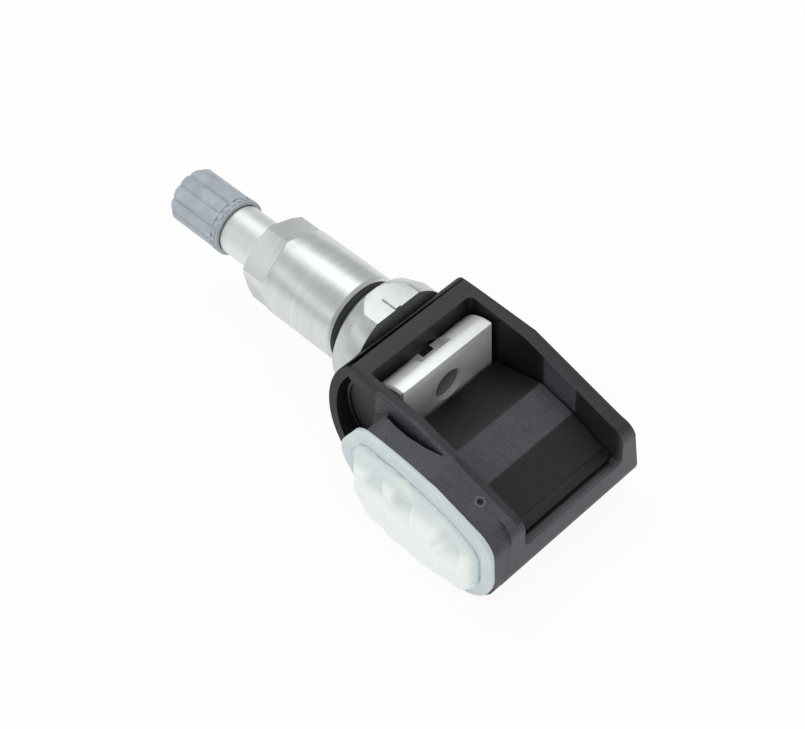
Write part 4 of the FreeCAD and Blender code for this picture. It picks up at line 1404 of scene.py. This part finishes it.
@dataclass
class Studio:
    """A pale floor, soft lamps and the photograph's camera."""

    eye: Point = (126.08, -123.17, 227.49)
    right: Point = (0.7048, 0.7085, -0.0363)
    down: Point = (0.5260, -0.5563, -0.6433)
    ahead: Point = (-0.4760, 0.4343, -0.7647)
    focal_px: float = 2000.0
    photo_px: float = 805.0
    sensor: float = 36.0
    walls: float = 0.43
    ceiling: float = 0.09
    lamps: tuple[tuple[str, Point, float], ...] = (
        ("key", (-330.0, 60.0, 560.0), 0.8),
        ("fill", (360.0, -450.0, 240.0), 1.0),
    )
    lamp_mm: float = 420.0
    lamp_aim: Point = (-12.0, 0.0, 10.0)
    floor_seen: float = 0.93
    floor_shown: float = 0.6
    sky_tint: Colour = (0.985, 1.0, 0.995)
    boxes: tuple[SoftBox, ...] = (
        SoftBox((-0.42, 0.24, 0.87), 0.30, 0.44, 1.15, 0.12, (1.0, 0.0, 0.0)),
        SoftBox((-0.48, -0.76, 0.41), 0.60, 0.13, 0.66, 0.10),
    )

    def camera(self) -> None:
        """Adds the camera at the photograph's place."""
        data = bpy.data.cameras.new("camera")
        data.lens = self.focal_px / self.photo_px * self.sensor
        data.sensor_width = self.sensor
        data.sensor_fit = "HORIZONTAL"
        data.clip_start = 0.005
        data.clip_end = 20.0
        eye = bpy.data.objects.new("camera", data)
        bpy.context.scene.collection.objects.link(eye)
        rows = [Vector(self.right), -Vector(self.down), -Vector(self.ahead)]
        turn = Matrix(rows).transposed().to_4x4()
        eye.matrix_world = Matrix.Translation(Vector(self.eye) * MM) @ turn
        bpy.context.scene.camera = eye

    def lamp(self, name: str, spot: Point, power: float) -> None:
        """Adds a soft area lamp that looks at the object.

        Args:
            name: The lamp's name.
            spot: Its place, in millimetres.
            power: Its power, in watts.
        """
        data = bpy.data.lights.new(name, "AREA")
        data.shape = "SQUARE"
        data.size = self.lamp_mm * MM
        data.energy = power
        lamp = bpy.data.objects.new(name, data)
        lamp.visible_glossy = False
        bpy.context.scene.collection.objects.link(lamp)
        turn = (Vector(self.lamp_aim) - Vector(spot)).to_track_quat("-Z", "Y")
        lamp.matrix_world = Matrix.Translation(Vector(spot) * MM) @ turn.to_matrix().to_4x4()

    def floor(self) -> None:
        """Adds the pale floor, which looks white to the camera and in what mirrors it."""
        clear()
        bpy.ops.mesh.primitive_plane_add(size=4.0, location=(0.0, 0.0, -0.00005))
        floor = bpy.context.object
        floor.name = "floor"
        shader = Shader("pale floor")
        shader.dress(Base_Color=(0.93, 0.94, 0.94), Roughness=0.9, Specular_IOR_Level=0.1)
        seen = shader.add("LightPath", {}, {}, "Is Camera Ray")
        shown = shader.add("LightPath", {}, {}, "Is Glossy Ray")
        glow = shader.add("Emission", {}, {"Color": WHITE, "Strength": 1.0})
        plain = Value(shader, shader.surface.outputs["BSDF"])
        share = seen * self.floor_seen + shown * self.floor_shown
        blend = shader.add("MixShader", {}, {0: share, 1: plain, 2: glow})
        shader.plug(shader.output.inputs["Surface"], blend)
        floor.data.materials.append(shader.material)

    def world(self) -> None:
        """Lights the scene from all round, with brighter soft boxes; the camera itself sees white."""
        world = bpy.data.worlds.new("soft studio")
        bpy.context.scene.world = world
        world.use_nodes = True
        sky = Graph(world.node_tree, "Generated")
        light = sky.axis("Z").between(-0.2, 0.5) * self.ceiling + self.walls
        for box in self.boxes:
            light = light + box.light(sky)
        seen = sky.add("LightPath", {}, {}, "Is Camera Ray")
        light = light * (1.0 - seen) + seen
        background = world.node_tree.nodes["Background"]
        sky.plug(background.inputs["Color"], self.sky_tint)
        sky.plug(background.inputs["Strength"], light)

    def build(self) -> None:
        """Adds the whole studio."""
        self.floor()
        self.world()
        for lamp in self.lamps:
            self.lamp(*lamp)
        self.camera()
        bpy.context.scene.view_settings.view_transform = "Standard"


def main() -> None:
    """Builds the classes in order."""
    logging.basicConfig(level=logging.INFO, format="%(message)s")
    NODES.update(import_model()["nodes"])
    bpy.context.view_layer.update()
    Insides().build()
    Housing().build()
    PottedCover().build()
    Valve().build()
    UnionNut().build()
    ScrewCap().build()
    Studio().build()


if __name__ == "__main__":
    main()
